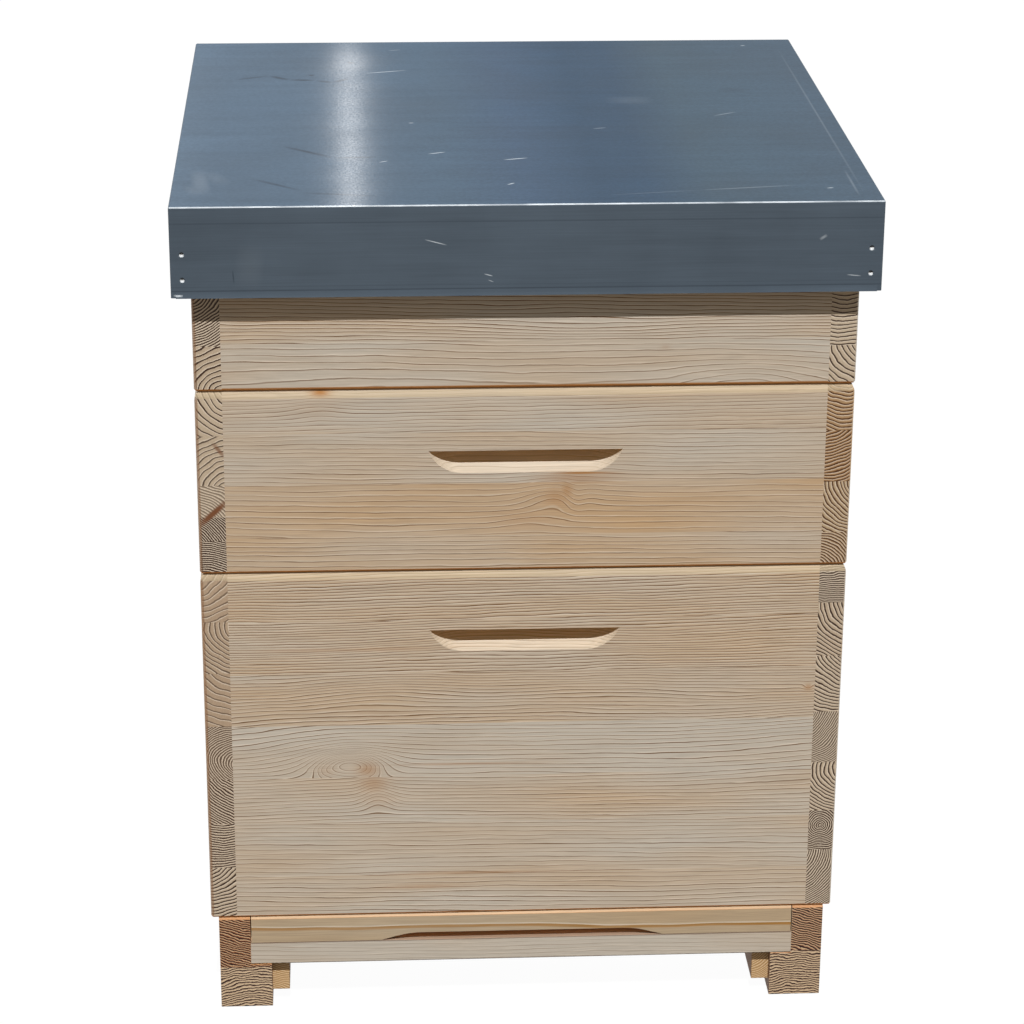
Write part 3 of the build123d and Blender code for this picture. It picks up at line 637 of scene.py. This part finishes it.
def waxMaterial(look):
    material, add = newMaterial("pressed beeswax")
    place = add("TexCoord").outputs["Object"]
    cells = add("TexVoronoi", {"Vector": place, "Scale": 1 / (look["cell"] * mm), "Randomness": look["uneven"]},
                feature="DISTANCE_TO_EDGE")
    rims = add("MapRange", [cells.outputs["Distance"], *look["rim"], 1.0, 0.0])
    cloud = add("TexNoise", {"Vector": place, "Scale": 1 / (look["cloud"] * mm), "Detail": 2.0}).outputs["Fac"]
    colour = linear(look["light"])
    for share, tone in ((cloud, "deep"), (rims, "rimTone")):
        colour = add("Mix", {0: share, 6: colour, 7: linear(look[tone])}, data_type="RGBA").outputs[2]
    bump = add("Bump", {"Height": rims, "Strength": look["bumpStrength"], "Distance": look["bumpDepth"] * mm})
    shader = add("BsdfPrincipled", {"Base Color": colour, "Roughness": look["roughness"], "Normal": bump,
                                    "Subsurface Weight": look["glow"]})
    add("OutputMaterial", [shader])
    return material


# Frames: planed bars round a sheet of wax; the grain runs along each bar
wax = waxMaterial(waxLook)
thinnestBar = 5 * mm
for name in [n for n in nodes if "_frame_" in n and not n.endswith("rests")]:
    bm = cadCopy(name)
    soften(bm, [e for e in bm.edges if isArris(e, arris["frame"])], easing["frame"], 1)
    sheetFaces = []
    for i, group in enumerate(islands(bm)):
        low, high = reach(group)
        size = high - low
        if size.x < thinnestBar:
            sheetFaces += group
            continue
        axis, up = (2, 1) if size.z > size.y else (1, 2)
        bar = f"{name} bar {i}"
        layGrain(bm, bar, axis, (0, 1), up, *lamellaStack(bar, 1), group)
    bm.faces.index_update()
    sheetIndices = {f.index for f in sheetFaces}
    sheet = bm.copy()
    bmesh.ops.delete(sheet, geom=[f for f in sheet.faces if f.index not in sheetIndices], context="FACES")
    bmesh.ops.delete(bm, geom=sheetFaces, context="FACES")
    addWork(bm, limeWood, name + "_bars", name)
    addWork(sheet, wax, name + "_wax", name, stands=False)
print("frames done")


# Roof sheet: steel coated blue-grey, satin, rolled across the hive: faint lines along the roll, a painted reflection
# across the top with a darker bluer band right of the middle, a painted highlight along the front and rear folds,
# scratches where the coat is through and dark smears of handling
roofLook = {
    "coatAndPaintedLight": [(-285, "#4b5b6b"), (-250, "#455565"), (-60, "#3d4e5e"), (0, "#36475a"), (60, "#2a3c4e"),
             (100, "#2b3d4f"), (150, "#364653"), (285, "#384755")],
    "skirt": "#48535e", "scratchesAndFoldHighlight": "#cbd3da", "dark": "#262e38", "roughness": (0.4, 0.55), "sheen": 0.0031, "glint": 0.01,
    "roll": (70.0, 0.9, 0.9), "rollShade": (0.95, 1.05), "cloud": 85, "cloudShade": (0.9, 1.1), "swell": 170,
    "smear": (150, 11, 11), "smearShade": (0.94, 1.06), "grit": 3.0, "gritShare": 0.08,
    # crease and hem lines are painted shade
    "lines": [(716.0, 0.9, 0.35), (660.5, 0.8, 0.55), (663.9, 0.5, 0.25)],  # crease and hem: height, half, strength
    "foldHighlightBreaks": [(45, 0.45, 0.95), (11, 0.75, 0.95)], "sheenRub": [(1.6, 0.35, 1.7), (60.0, 0.8, 1.2)],
    "rearFade": (200, 0.35), "highlightBreakSpan": (0.35, 0.6), "gloss": 0.03, "sheenRough": 0.201, "sheenSpread": 0.936,
    "glintRough": 0.3, "swellBump": 1.0, "swellDepth": 0.025, "rollBump": 0.2, "rollDepth": 0.05,
    "top": (0.5, 0.95), "fold": (0.25, 0.45), "front": -0.7,  # by the way a face looks
}
# Marks: middle, half length along x and rise over it, half width across, and strength, pale above 0 and dark below; in
# mm, on the top by x and y, on the skirt by x and z
topMarks = [
    (-106, 163, 20, 5.6, 1.0, 0.6), (-96, 250, 6, 1.7, 1.2, 0.2), (-87, -26, 2.4, 0, 0.8, 0.7),
    (-68, -127, 7.8, 3, 0.85, 0.8), (-113, -153, 3.8, 2.2, 0.8, 0.6), (-3, -148, 10.5, 2.8, 0.85, 0.9),
    (-11, -225, 3.2, 2.6, 0.9, 0.8), (75, -49, 6, 1.5, 0.8, 0.35), (189, -3, 11, 6.7, 1.2, 0.22),
    (237, 259, 2.5, 1, 1.5, 0.4), (103, -255, 37, 6, 1.0, 0.08), (180, -243, 40, 6, 1.2, 0.16),
    (246, -246, 3, 0.6, 1.2, 0.5), (270, -6, 1.3, -254, 1.1, 0.07), (266, -231, 0.1, -39, 1.2, 0.09),
    (109, 49, 22, -0.5, 16, 0.03), (-262, -212, 3, -40, 8, 0.06), (-250, -200, 8, -22, 9, 0.03),
    (-264, -236, 10, 3, 16, 0.04), (-229, 143, 16, 7.6, 4, -0.5), (-203, 142, 9.4, -8.4, 4, -0.7),
    (-182, 133, 12, -1.5, 4, -0.75), (-162, 127, 8, -3.7, 3.6, -0.7), (-147, 131, 7, 7.8, 3.6, -0.7),
    (-174, 152, 3.2, 0, 2.8, -0.9), (-138, 200, 3.2, -3, 3.2, -0.8), (-176, -120, 22, -20, 3.2, -0.7),
    (-136, -139, 18, 1, 3, -0.65), (-200, -222, 20, -18, 3, -0.55), (-150, -252, 32, -6, 3, -0.5),
    (206, 83, 16, -0.5, 10, -0.25),
]
skirtMarks = [
    (-74, 699, 9, -2.4, 0.5, 0.7), (-32, 671.5, 3.6, -1.0, 0.45, 0.8), (-30, 666.5, 2.4, -0.9, 0.4, 0.5),
    (-235, 672, 0.4, -6, 0.7, -0.6), (236, 700, 3, 2, 1.4, 0.3), (262, 668, 6, -0.6, 0.5, 0.6),
    # the mark at the hem's left end is a painted glint
    (-279, 657, 4, 0, 1.0, 0.9), (-222, 680, 2, 20, 12, 0.025),
]


def roofMaterial(look):
    material, add = newMaterial("coated steel sheet")
    place = add("TexCoord").outputs["Object"]
    spot = add("SeparateXYZ", [place]).outputs
    facing = add("SeparateXYZ", [add("NewGeometry").outputs["True Normal"]]).outputs
    onTop = add("MapRange", [facing[2], *look["top"]])

    # coat of the top by x, from edge to edge, with a painted reflection across it
    edge = look["coatAndPaintedLight"][-1][0]
    across = add("MapRange", [spot[0], -edge * mm, edge * mm])
    tones = add("ValToRGB", [across])
    stops = tones.color_ramp.elements
    stops[0].color, stops[1].color = linear(look["coatAndPaintedLight"][0][1]), linear(look["coatAndPaintedLight"][-1][1])
    for x, colour in look["coatAndPaintedLight"][1:-1]:
        stops.new((x + edge) / (2 * edge)).color = linear(colour)
    coatAndPaintedLight = add("Mix", {0: onTop, 6: linear(look["skirt"]), 7: tones.outputs[0]}, data_type="RGBA").outputs[2]

    # roll lines along x, clouds and smears of handling, grit on the top, and painted shade in the crease
    # under the fold and along the hem's lines
    roll = stretchedNoise(add, place, [v * mm for v in look["roll"]], 3.0)["Fac"]
    cloud = add("TexNoise", {"Vector": place, "Scale": 1 / (look["cloud"] * mm), "Detail": 4.0}).outputs["Fac"]
    smear = stretchedNoise(add, place, [v * mm for v in look["smear"]], 2.0, Distortion=0.4)["Fac"]
    for noise, shares in ((roll, "rollShade"), (cloud, "cloudShade"), (smear, "smearShade")):
        coatAndPaintedLight = mottled(add, coatAndPaintedLight, noise, look[shares])
    grit = add("TexNoise", {"Vector": place, "Scale": 1 / (look["grit"] * mm), "Detail": 1.0}).outputs["Fac"]
    grit = add("MapRange", [grit, *noiseSpan, -look["gritShare"], look["gritShare"]])
    shade = add("Math", [grit, onTop, 1.0], "MULTIPLY_ADD")
    coatAndPaintedLight = add("VectorMath", {0: coatAndPaintedLight, 3: shade}, "SCALE").outputs[0]
    dark = None
    for height, half, strength in look["lines"]:
        off = add("Math", [spot[2], height * mm], "SUBTRACT")
        off = add("Math", [off], "ABSOLUTE")
        mark = add("MapRange", [off, 0.0, half * mm, strength, 0.0])
        dark = mark if dark is None else add("Math", [dark, mark], "MAXIMUM")

    # painted highlight along the front and rear folds, broken unevenly, then the marks, on the top and on the front
    towards = add("Math", [facing[1]], "ABSOLUTE")
    foldFacing = add("Math", [towards, facing[2]], "MINIMUM")
    scratchesAndFoldHighlight = add("MapRange", [foldFacing, *look["fold"]])
    for length, least, most in look["foldHighlightBreaks"]:
        rubbed = add("TexNoise", {"W": spot[0], "Scale": 1 / (length * mm), "Detail": 1.0}, noise_dimensions="1D")
        rubbed = add("MapRange", [rubbed, *look["highlightBreakSpan"], least, most])
        scratchesAndFoldHighlight = add("Math", [scratchesAndFoldHighlight, rubbed], "MULTIPLY")
    onFront = add("Math", [facing[1], look["front"]], "LESS_THAN")
    for marks, up, share in ((topMarks, 1, onTop), (skirtMarks, 2, onFront)):
        for x, v, half, rise, width, strength in marks:
            mark = strokeMark(add, place, share, x, v, half, rise, width, up)
            mark = add("Math", [mark, abs(strength)], "MULTIPLY")
            if strength > 0:
                scratchesAndFoldHighlight = add("Math", [scratchesAndFoldHighlight, mark], "MAXIMUM")
            else:
                dark = add("Math", [dark, mark], "MAXIMUM")
    for share, tone in ((dark, "dark"), (scratchesAndFoldHighlight, "scratchesAndFoldHighlight")):
        coatAndPaintedLight = add("Mix", {0: share, 6: coatAndPaintedLight, 7: linear(look[tone])}, data_type="RGBA").outputs[2]

    # the rolled surface spreads the sun across the roll only; the coat's own gloss catches it on the folds
    swell = add("TexNoise", {"Vector": place, "Scale": 1 / (look["swell"] * mm), "Detail": 1.0}).outputs["Fac"]
    flat = add("Bump", {"Height": swell, "Strength": look["swellBump"], "Distance": look["swellDepth"] * mm})
    bump = add("Bump", {"Height": roll, "Strength": look["rollBump"], "Distance": look["rollDepth"] * mm,
                        "Normal": flat})
    rough = add("MapRange", [cloud, 0.0, 1.0, *look["roughness"]])
    paint = add("BsdfPrincipled", {"Base Color": coatAndPaintedLight, "Roughness": rough, "Normal": bump,
                                   "Specular IOR Level": look["gloss"]})
    rolled = add("CombineXYZ", [1.0, 0.0, 0.001])
    sheen = add("BsdfAnisotropic", {"Color": (1, 1, 1, 1), "Roughness": look["sheenRough"],
                                    "Anisotropy": look["sheenSpread"], "Tangent": rolled, "Normal": flat})
    glint = add("BsdfAnisotropic", {"Color": (1, 1, 1, 1), "Roughness": look["glintRough"], "Anisotropy": 0.0})
    sheenShare = add("Math", [onTop, look["sheen"]], "MULTIPLY")
    for size, least, most in look["sheenRub"]:  # grit, and rubbed places
        rubbed = add("TexNoise", {"Vector": place, "Scale": 1 / (size * mm), "Detail": 1.0}).outputs["Fac"]
        rubbed = add("MapRange", [rubbed, *noiseSpan, least, most])
        sheenShare = add("Math", [sheenShare, rubbed], "MULTIPLY")
    fadeFrom, fadeTo = look["rearFade"]
    rear = add("MapRange", [spot[1], fadeFrom * mm, edge * mm, 1.0, fadeTo])
    sheenShare = add("Math", [sheenShare, rear], "MULTIPLY")
    both = add("MixShader", [sheenShare, paint, sheen])
    both = add("MixShader", [look["glint"], both, glint])
    add("OutputMaterial", [both])
    return material


# Zinc: pale grey metal with flat crystals of differing grey
zincLook = {"shade": (0.8, 1.12), "roughSpan": 0.14}


def zincMaterial(name, colour, spangle, roughness):
    material, add = newMaterial(name)
    place = add("TexCoord").outputs["Object"]
    cells = add("TexVoronoi", {"Vector": place, "Scale": 1 / (spangle * mm)})
    grey = add("SeparateXYZ", [cells.outputs["Color"]]).outputs[0]
    shade = add("MapRange", [grey, 0.0, 1.0, *zincLook["shade"]])
    tone = add("VectorMath", {0: linear(colour)[:3], 3: shade}, "SCALE")
    rough = add("MapRange", {0: grey, 3: roughness, 4: roughness + zincLook["roughSpan"]})
    shader = add("BsdfPrincipled", {"Base Color": tone, "Metallic": 1.0, "Roughness": rough})
    add("OutputMaterial", [shader])
    return material


# Punched wire nails: pale dull steel; the dish's upper half, which looks down, is painted near-black shade
nailLook = {"blotch": 0.8, "steel": "#a9adb1", "bright": "#eceeef", "paintedShade": "#14171b", "looksUp": (-0.25, 0.1),
            "roughness": 0.5, "gloss": 0.2, "dish": 2.2, "headsFrom": 280, "headsLook": 0.99}


def nailMaterial(look):
    material, add = newMaterial("punched steel")
    place = add("TexCoord").outputs["Object"]
    blotch = add("TexNoise", {"Vector": place, "Scale": 1 / (look["blotch"] * mm), "Detail": 2.0}).outputs["Fac"]
    steel = add("Mix", {0: blotch, 6: linear(look["steel"]), 7: linear(look["bright"])}, data_type="RGBA").outputs[2]
    facing = add("SeparateXYZ", [add("NewGeometry").outputs["True Normal"]]).outputs[2]
    looksUp = add("MapRange", [facing, *look["looksUp"]])
    tone = add("Mix", {0: looksUp, 6: linear(look["paintedShade"]), 7: steel}, data_type="RGBA").outputs[2]
    shader = add("BsdfPrincipled", {"Base Color": tone, "Roughness": look["roughness"],
                                    "Specular IOR Level": look["gloss"]})
    add("OutputMaterial", [shader])
    return material


roofSteel = roofMaterial(roofLook)
galvanised = zincMaterial("galvanised sheet", "#b9bdbf", 9.0, 0.34)
galvanisedWire = zincMaterial("galvanised wire", "#aeb2b4", 4.0, 0.4)
zincPlate = zincMaterial("zinc plate", "#b4b3ad", 1.5, 0.3)
nailSteel = nailMaterial(nailLook)
addWork(cadCopy("roof_sheet"), roofSteel, "roof_cover", "roof_sheet")

# Roof nails: driven home with a punch, which leaves a dish in the head
bm = cadCopy("roof_nails")
heads = [f for f in bm.faces if abs(f.normal.y) > nailLook["headsLook"]
         and abs(f.calc_center_median().y) > nailLook["headsFrom"] * mm]
for vert in bmesh.ops.poke(bm, faces=heads)["verts"]:
    vert.co.y -= math.copysign(nailLook["dish"] * mm, vert.co.y)
addWork(bm, nailSteel, "roof_nail_heads", "roof_nails")
for name in ("varroa_tray", "brood_frame_rests", "super_frame_rests"):
    addWork(cadCopy(name), galvanised, name + "_sheet", name)
print("roof and sheet metal done")


def newTree(name, sizes):
    tree = bpy.data.node_groups.new(name, "GeometryNodeTree")
    tree.interface.new_socket("Geometry", in_out="INPUT", socket_type="NodeSocketGeometry")
    for label, kind in sizes.items():
        tree.interface.new_socket(label, in_out="INPUT", socket_type="NodeSocket" + kind)
    tree.interface.new_socket("Geometry", in_out="OUTPUT", socket_type="NodeSocketGeometry")
    add = partial(addNode, tree)
    return tree, add, add("NodeGroupInput").outputs


def growMesh(tree, host, values):
    carrier = newObject(host.name, host)
    modifier = carrier.modifiers.new("grow", "NODES")
    modifier.node_group = tree
    for item in tree.interface.items_tree:
        if item.in_out == "INPUT" and item.name in values:
            modifier[item.identifier] = values[item.name]
    mesh = bpy.data.meshes.new_from_object(carrier.evaluated_get(bpy.context.evaluated_depsgraph_get()))
    bpy.data.objects.remove(carrier)
    return mesh


# Wire mesh of the floor: straight wires, one layer across the other
def wireTree():
    tree, add, given = newTree("wire mesh", {"Corner": "Vector", "Width": "Float", "Length": "Float",
                                             "Pitch": "Float", "Wire": "Float", "Material": "Material"})
    layers, quarter = [], math.pi / 2
    for runs, steps, turn, lift in (("Length", "Width", (quarter, 0, 0), 1), ("Width", "Length", (0, quarter, 0), 3)):
        count = add("Math", [given[steps], given["Pitch"]], "DIVIDE")
        count = add("Math", [count], "FLOOR")
        count = add("Math", [count, 1.0], "ADD")
        half = add("Math", [given[runs], 0.5], "MULTIPLY")
        height = add("Math", [given["Wire"], float(lift)], "MULTIPLY")
        alongX = steps == "Width"
        begin = add("CombineXYZ", {1: half, 2: height} if alongX else {0: half, 2: height})
        begin = add("VectorMath", [begin, given["Corner"]], "ADD")
        step = add("CombineXYZ", {0 if alongX else 1: given["Pitch"]})
        rows = add("GeometryNodeMeshLine", {"Count": count, "Start Location": begin, "Offset": step})
        wire = add("GeometryNodeMeshCylinder", {"Vertices": 6, "Radius": given["Wire"], "Depth": given[runs]})
        layers.append(add("GeometryNodeInstanceOnPoints", {
            "Points": rows, "Instance": wire.outputs["Mesh"], "Rotation": turn}))
    joined = add("GeometryNodeJoinGeometry")
    for layer in layers:
        tree.links.new(layer.outputs[0], joined.inputs[0])
    real = add("GeometryNodeRealizeInstances", [joined])
    shown = add("GeometryNodeSetMaterial", {"Geometry": real, "Material": given["Material"]})
    add("NodeGroupOutput", [shown])
    return tree


wireMesh = {"pitch": 3.2, "wire": 0.3}
low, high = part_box("floor_mesh")
wires = growMesh(wireTree(), bpy.data.meshes.new("floor_wires"), {
    "Corner": low, "Width": high.x - low.x, "Length": high.y - low.y, "Pitch": wireMesh["pitch"] * mm,
    "Wire": wireMesh["wire"] * mm, "Material": galvanisedWire})
addPiece(wires, "floor_wires", "floor_mesh")


# Countersunk screws with a cross slot, one at each head's place, turned at random
def screwTree():
    tree, add, given = newTree("cross-slot screws", {
        "Head radius": "Float", "Shank radius": "Float", "Length": "Float", "Slot width": "Float",
        "Slot reach": "Float", "Slot depth": "Float", "Seed": "Int", "Material": "Material"})
    tall = add("Math", [given["Head radius"], given["Shank radius"]], "SUBTRACT")
    sunk = add("Math", [tall, -1.0], "MULTIPLY")
    head = add("GeometryNodeMeshCone", {"Vertices": 20, "Radius Top": given["Head radius"],
                                        "Radius Bottom": given["Shank radius"], "Depth": tall})
    down = add("CombineXYZ", {2: sunk})
    head = add("GeometryNodeTransform", {"Geometry": head.outputs["Mesh"], "Translation": down})
    slotLength = add("Math", [given["Head radius"], given["Slot reach"]], "MULTIPLY")
    slotDeep = add("Math", [tall, given["Slot depth"]], "MULTIPLY")
    slots = []
    for turn in (0.0, math.pi / 2):
        size = add("CombineXYZ", [slotLength, given["Slot width"], slotDeep])
        bar = add("GeometryNodeMeshCube", {"Size": size})
        slots.append(add("GeometryNodeTransform", {"Geometry": bar.outputs["Mesh"], "Rotation": (0, 0, turn)}))
    cut = add("GeometryNodeMeshBoolean", {"Mesh 1": head}, "DIFFERENCE")
    for slot in slots:
        tree.links.new(slot.outputs[0], cut.inputs["Mesh 2"])
    left = add("Math", [given["Length"], tall], "SUBTRACT")
    middle = add("Math", [left, -0.5, sunk], "MULTIPLY_ADD")
    shank = add("GeometryNodeMeshCylinder", {"Vertices": 10, "Radius": given["Shank radius"], "Depth": left})
    down = add("CombineXYZ", {2: middle})
    shank = add("GeometryNodeTransform", {"Geometry": shank.outputs["Mesh"], "Translation": down})
    screw = add("GeometryNodeJoinGeometry")
    tree.links.new(cut.outputs[0], screw.inputs[0])
    tree.links.new(shank.outputs[0], screw.inputs[0])
    facing = add("GeometryNodeInputNamedAttribute", {"Name": "facing"}, data_type="FLOAT_VECTOR")
    aim = add("FunctionNodeAlignRotationToVector", {"Vector": facing.outputs["Attribute"]}, axis="Z")
    placed = add("GeometryNodeInstanceOnPoints", {"Points": given["Geometry"], "Instance": screw, "Rotation": aim})
    spin = add("FunctionNodeRandomValue", {"Seed": given["Seed"]}, data_type="FLOAT").outputs[1]
    spin = add("Math", [spin, math.pi / 2], "MULTIPLY")
    spin = add("CombineXYZ", {2: spin})
    placed = add("GeometryNodeRotateInstances", {"Instances": placed, "Rotation": spin})
    real = add("GeometryNodeRealizeInstances", [placed])
    shown = add("GeometryNodeSetMaterial", {"Geometry": real, "Material": given["Material"]})
    add("NodeGroupOutput", [shown])
    return tree


# Sizes in mm; the slot's reach and depth are shares of the head's radius and height
screwSizes = {"head": 4.9, "shank": 2.4, "length": 49.0, "slot": 1.1, "slotReach": 1.15, "slotDepth": 1.5, "sunk": 0.1}
screws = screwTree()
for seed, name in enumerate(("brood_screws", "super_screws", "rim_screws", "floor_screws")):
    bm = cadCopy(name)
    spots, facings = [], []
    for group in islands(bm):
        low, high = reach(group)
        side = 1 if low.x > 0 else -1
        outer = high.x if side > 0 else low.x
        spots.append((outer - side * screwSizes["sunk"] * mm, (low.y + high.y) / 2, (low.z + high.z) / 2))
        facings += [side, 0, 0]
    bm.free()
    host = bpy.data.meshes.new(name + "_spots")
    host.from_pydata(spots, [], [])
    host.attributes.new("facing", "FLOAT_VECTOR", "POINT").data.foreach_set("vector", facings)
    heads = growMesh(screws, host, {
        "Head radius": screwSizes["head"] * mm, "Shank radius": screwSizes["shank"] * mm,
        "Length": screwSizes["length"] * mm, "Slot width": screwSizes["slot"] * mm,
        "Slot reach": screwSizes["slotReach"], "Slot depth": screwSizes["slotDepth"], "Seed": seed,
        "Material": zincPlate})
    addPiece(heads, name + "_heads", name)
    print(name, len(spots))


# Stage: white paper that keeps a soft shadow, white backdrop, daylight from the front at the photograph's height
stage = {
    "floorSize": 40.0, "floorDrop": 0.2 * mm, "paper": "#6e675d", "paperWhite": 0.9, "paperGlow": 0.97,
    "ambient": 0.25, "ambientColour": "#fff6ea",
    "sun": 4.15, "sunElevation": 56.0, "sunAzimuth": 0.3, "sunAngle": 0.3,
    "fill": 2.0, "fillElevation": 18.0, "fillAzimuth": 118.0, "fillAngle": 60.0,
}


def seenDirectly(add):  # white for the camera and in gloss; its real tone lights the object
    path = add("LightPath")
    seen = add("Math", [path.outputs["Is Camera Ray"], path.outputs["Is Glossy Ray"]], "MAXIMUM")
    return add("Math", [seen, path.outputs["Is Transmission Ray"]], "MAXIMUM")


def paperMaterial():
    material, add = newMaterial("white paper")
    seen = seenDirectly(add)
    tone = add("Mix", {0: seen, 6: linear(stage["paper"]), 7: [stage["paperWhite"]] * 3 + [1]}, data_type="RGBA")
    paper = add("BsdfDiffuse", {"Color": tone.outputs[2]})
    white = add("Emission", {"Color": (1, 1, 1, 1), "Strength": 1.0})
    share = add("Math", [seen, stage["paperGlow"]], "MULTIPLY")
    both = add("MixShader", [share, paper, white])
    add("OutputMaterial", [both])
    return material


half = stage["floorSize"] / 2
floorMesh = bpy.data.meshes.new("floor")
floorMesh.from_pydata([(-half, -half, 0), (half, -half, 0), (half, half, 0), (-half, half, 0)], [], [(0, 1, 2, 3)])
floorMesh.materials.append(paperMaterial())
floor = newObject("floor", floorMesh)
floor.location.z = -stage["floorDrop"]

world = bpy.data.worlds.new("white studio")
bpy.context.scene.world = world
world.use_nodes = True
world.node_tree.nodes.clear()
add = partial(addNode, world.node_tree)
ambient = add("Background", {"Color": linear(stage["ambientColour"]), "Strength": stage["ambient"]})
backdrop = add("Background", {"Color": (1, 1, 1, 1), "Strength": 1.0})
both = add("MixShader", [seenDirectly(add), ambient, backdrop])
add("OutputWorld", [both])


def addSun(name, strength, elevation, azimuth, angle):  # azimuth 0 shines from the front, 90 from the right
    lamp = bpy.data.lights.new(name, "SUN")
    lamp.energy = strength
    lamp.angle = math.radians(angle)
    sun = newObject(name, lamp)
    e, a = math.radians(elevation), math.radians(azimuth)
    towards = Vector((math.sin(a) * math.cos(e), -math.cos(a) * math.cos(e), math.sin(e)))
    sun.rotation_mode = "QUATERNION"
    sun.rotation_quaternion = towards.to_track_quat("Z", "Y")


addSun("daylight", stage["sun"], stage["sunElevation"], stage["sunAzimuth"], stage["sunAngle"])
addSun("fill left", stage["fill"], stage["fillElevation"], -stage["fillAzimuth"], stage["fillAngle"])
addSun("fill right", stage["fill"], stage["fillElevation"], stage["fillAzimuth"], stage["fillAngle"])

# Camera fitted to the photograph's straight edges; its axes are right, up and back
cameraFit = {"place": (-0.1484, -2.6902, 1.4136), "lens": 110.69, "right": (0.9985, -0.05441, 0.00557),
             "back": (-0.05268, -0.92936, 0.36539)}
camera = newObject("camera", bpy.data.cameras.new("camera"))
camera.data.lens = cameraFit["lens"]
camera.data.sensor_width = 36.0
back = Vector(cameraFit["back"]).normalized()
right = Vector(cameraFit["right"])
right = (right - back * right.dot(back)).normalized()
turn = Matrix((right, back.cross(right), back)).transposed()
camera.rotation_mode = "QUATERNION"
camera.rotation_quaternion = turn.to_quaternion()
camera.location = cameraFit["place"]
camera.data.clip_end = 200.0
bpy.context.scene.camera = camera
bpy.context.scene.view_settings.view_transform = "Standard"
print("stage done")
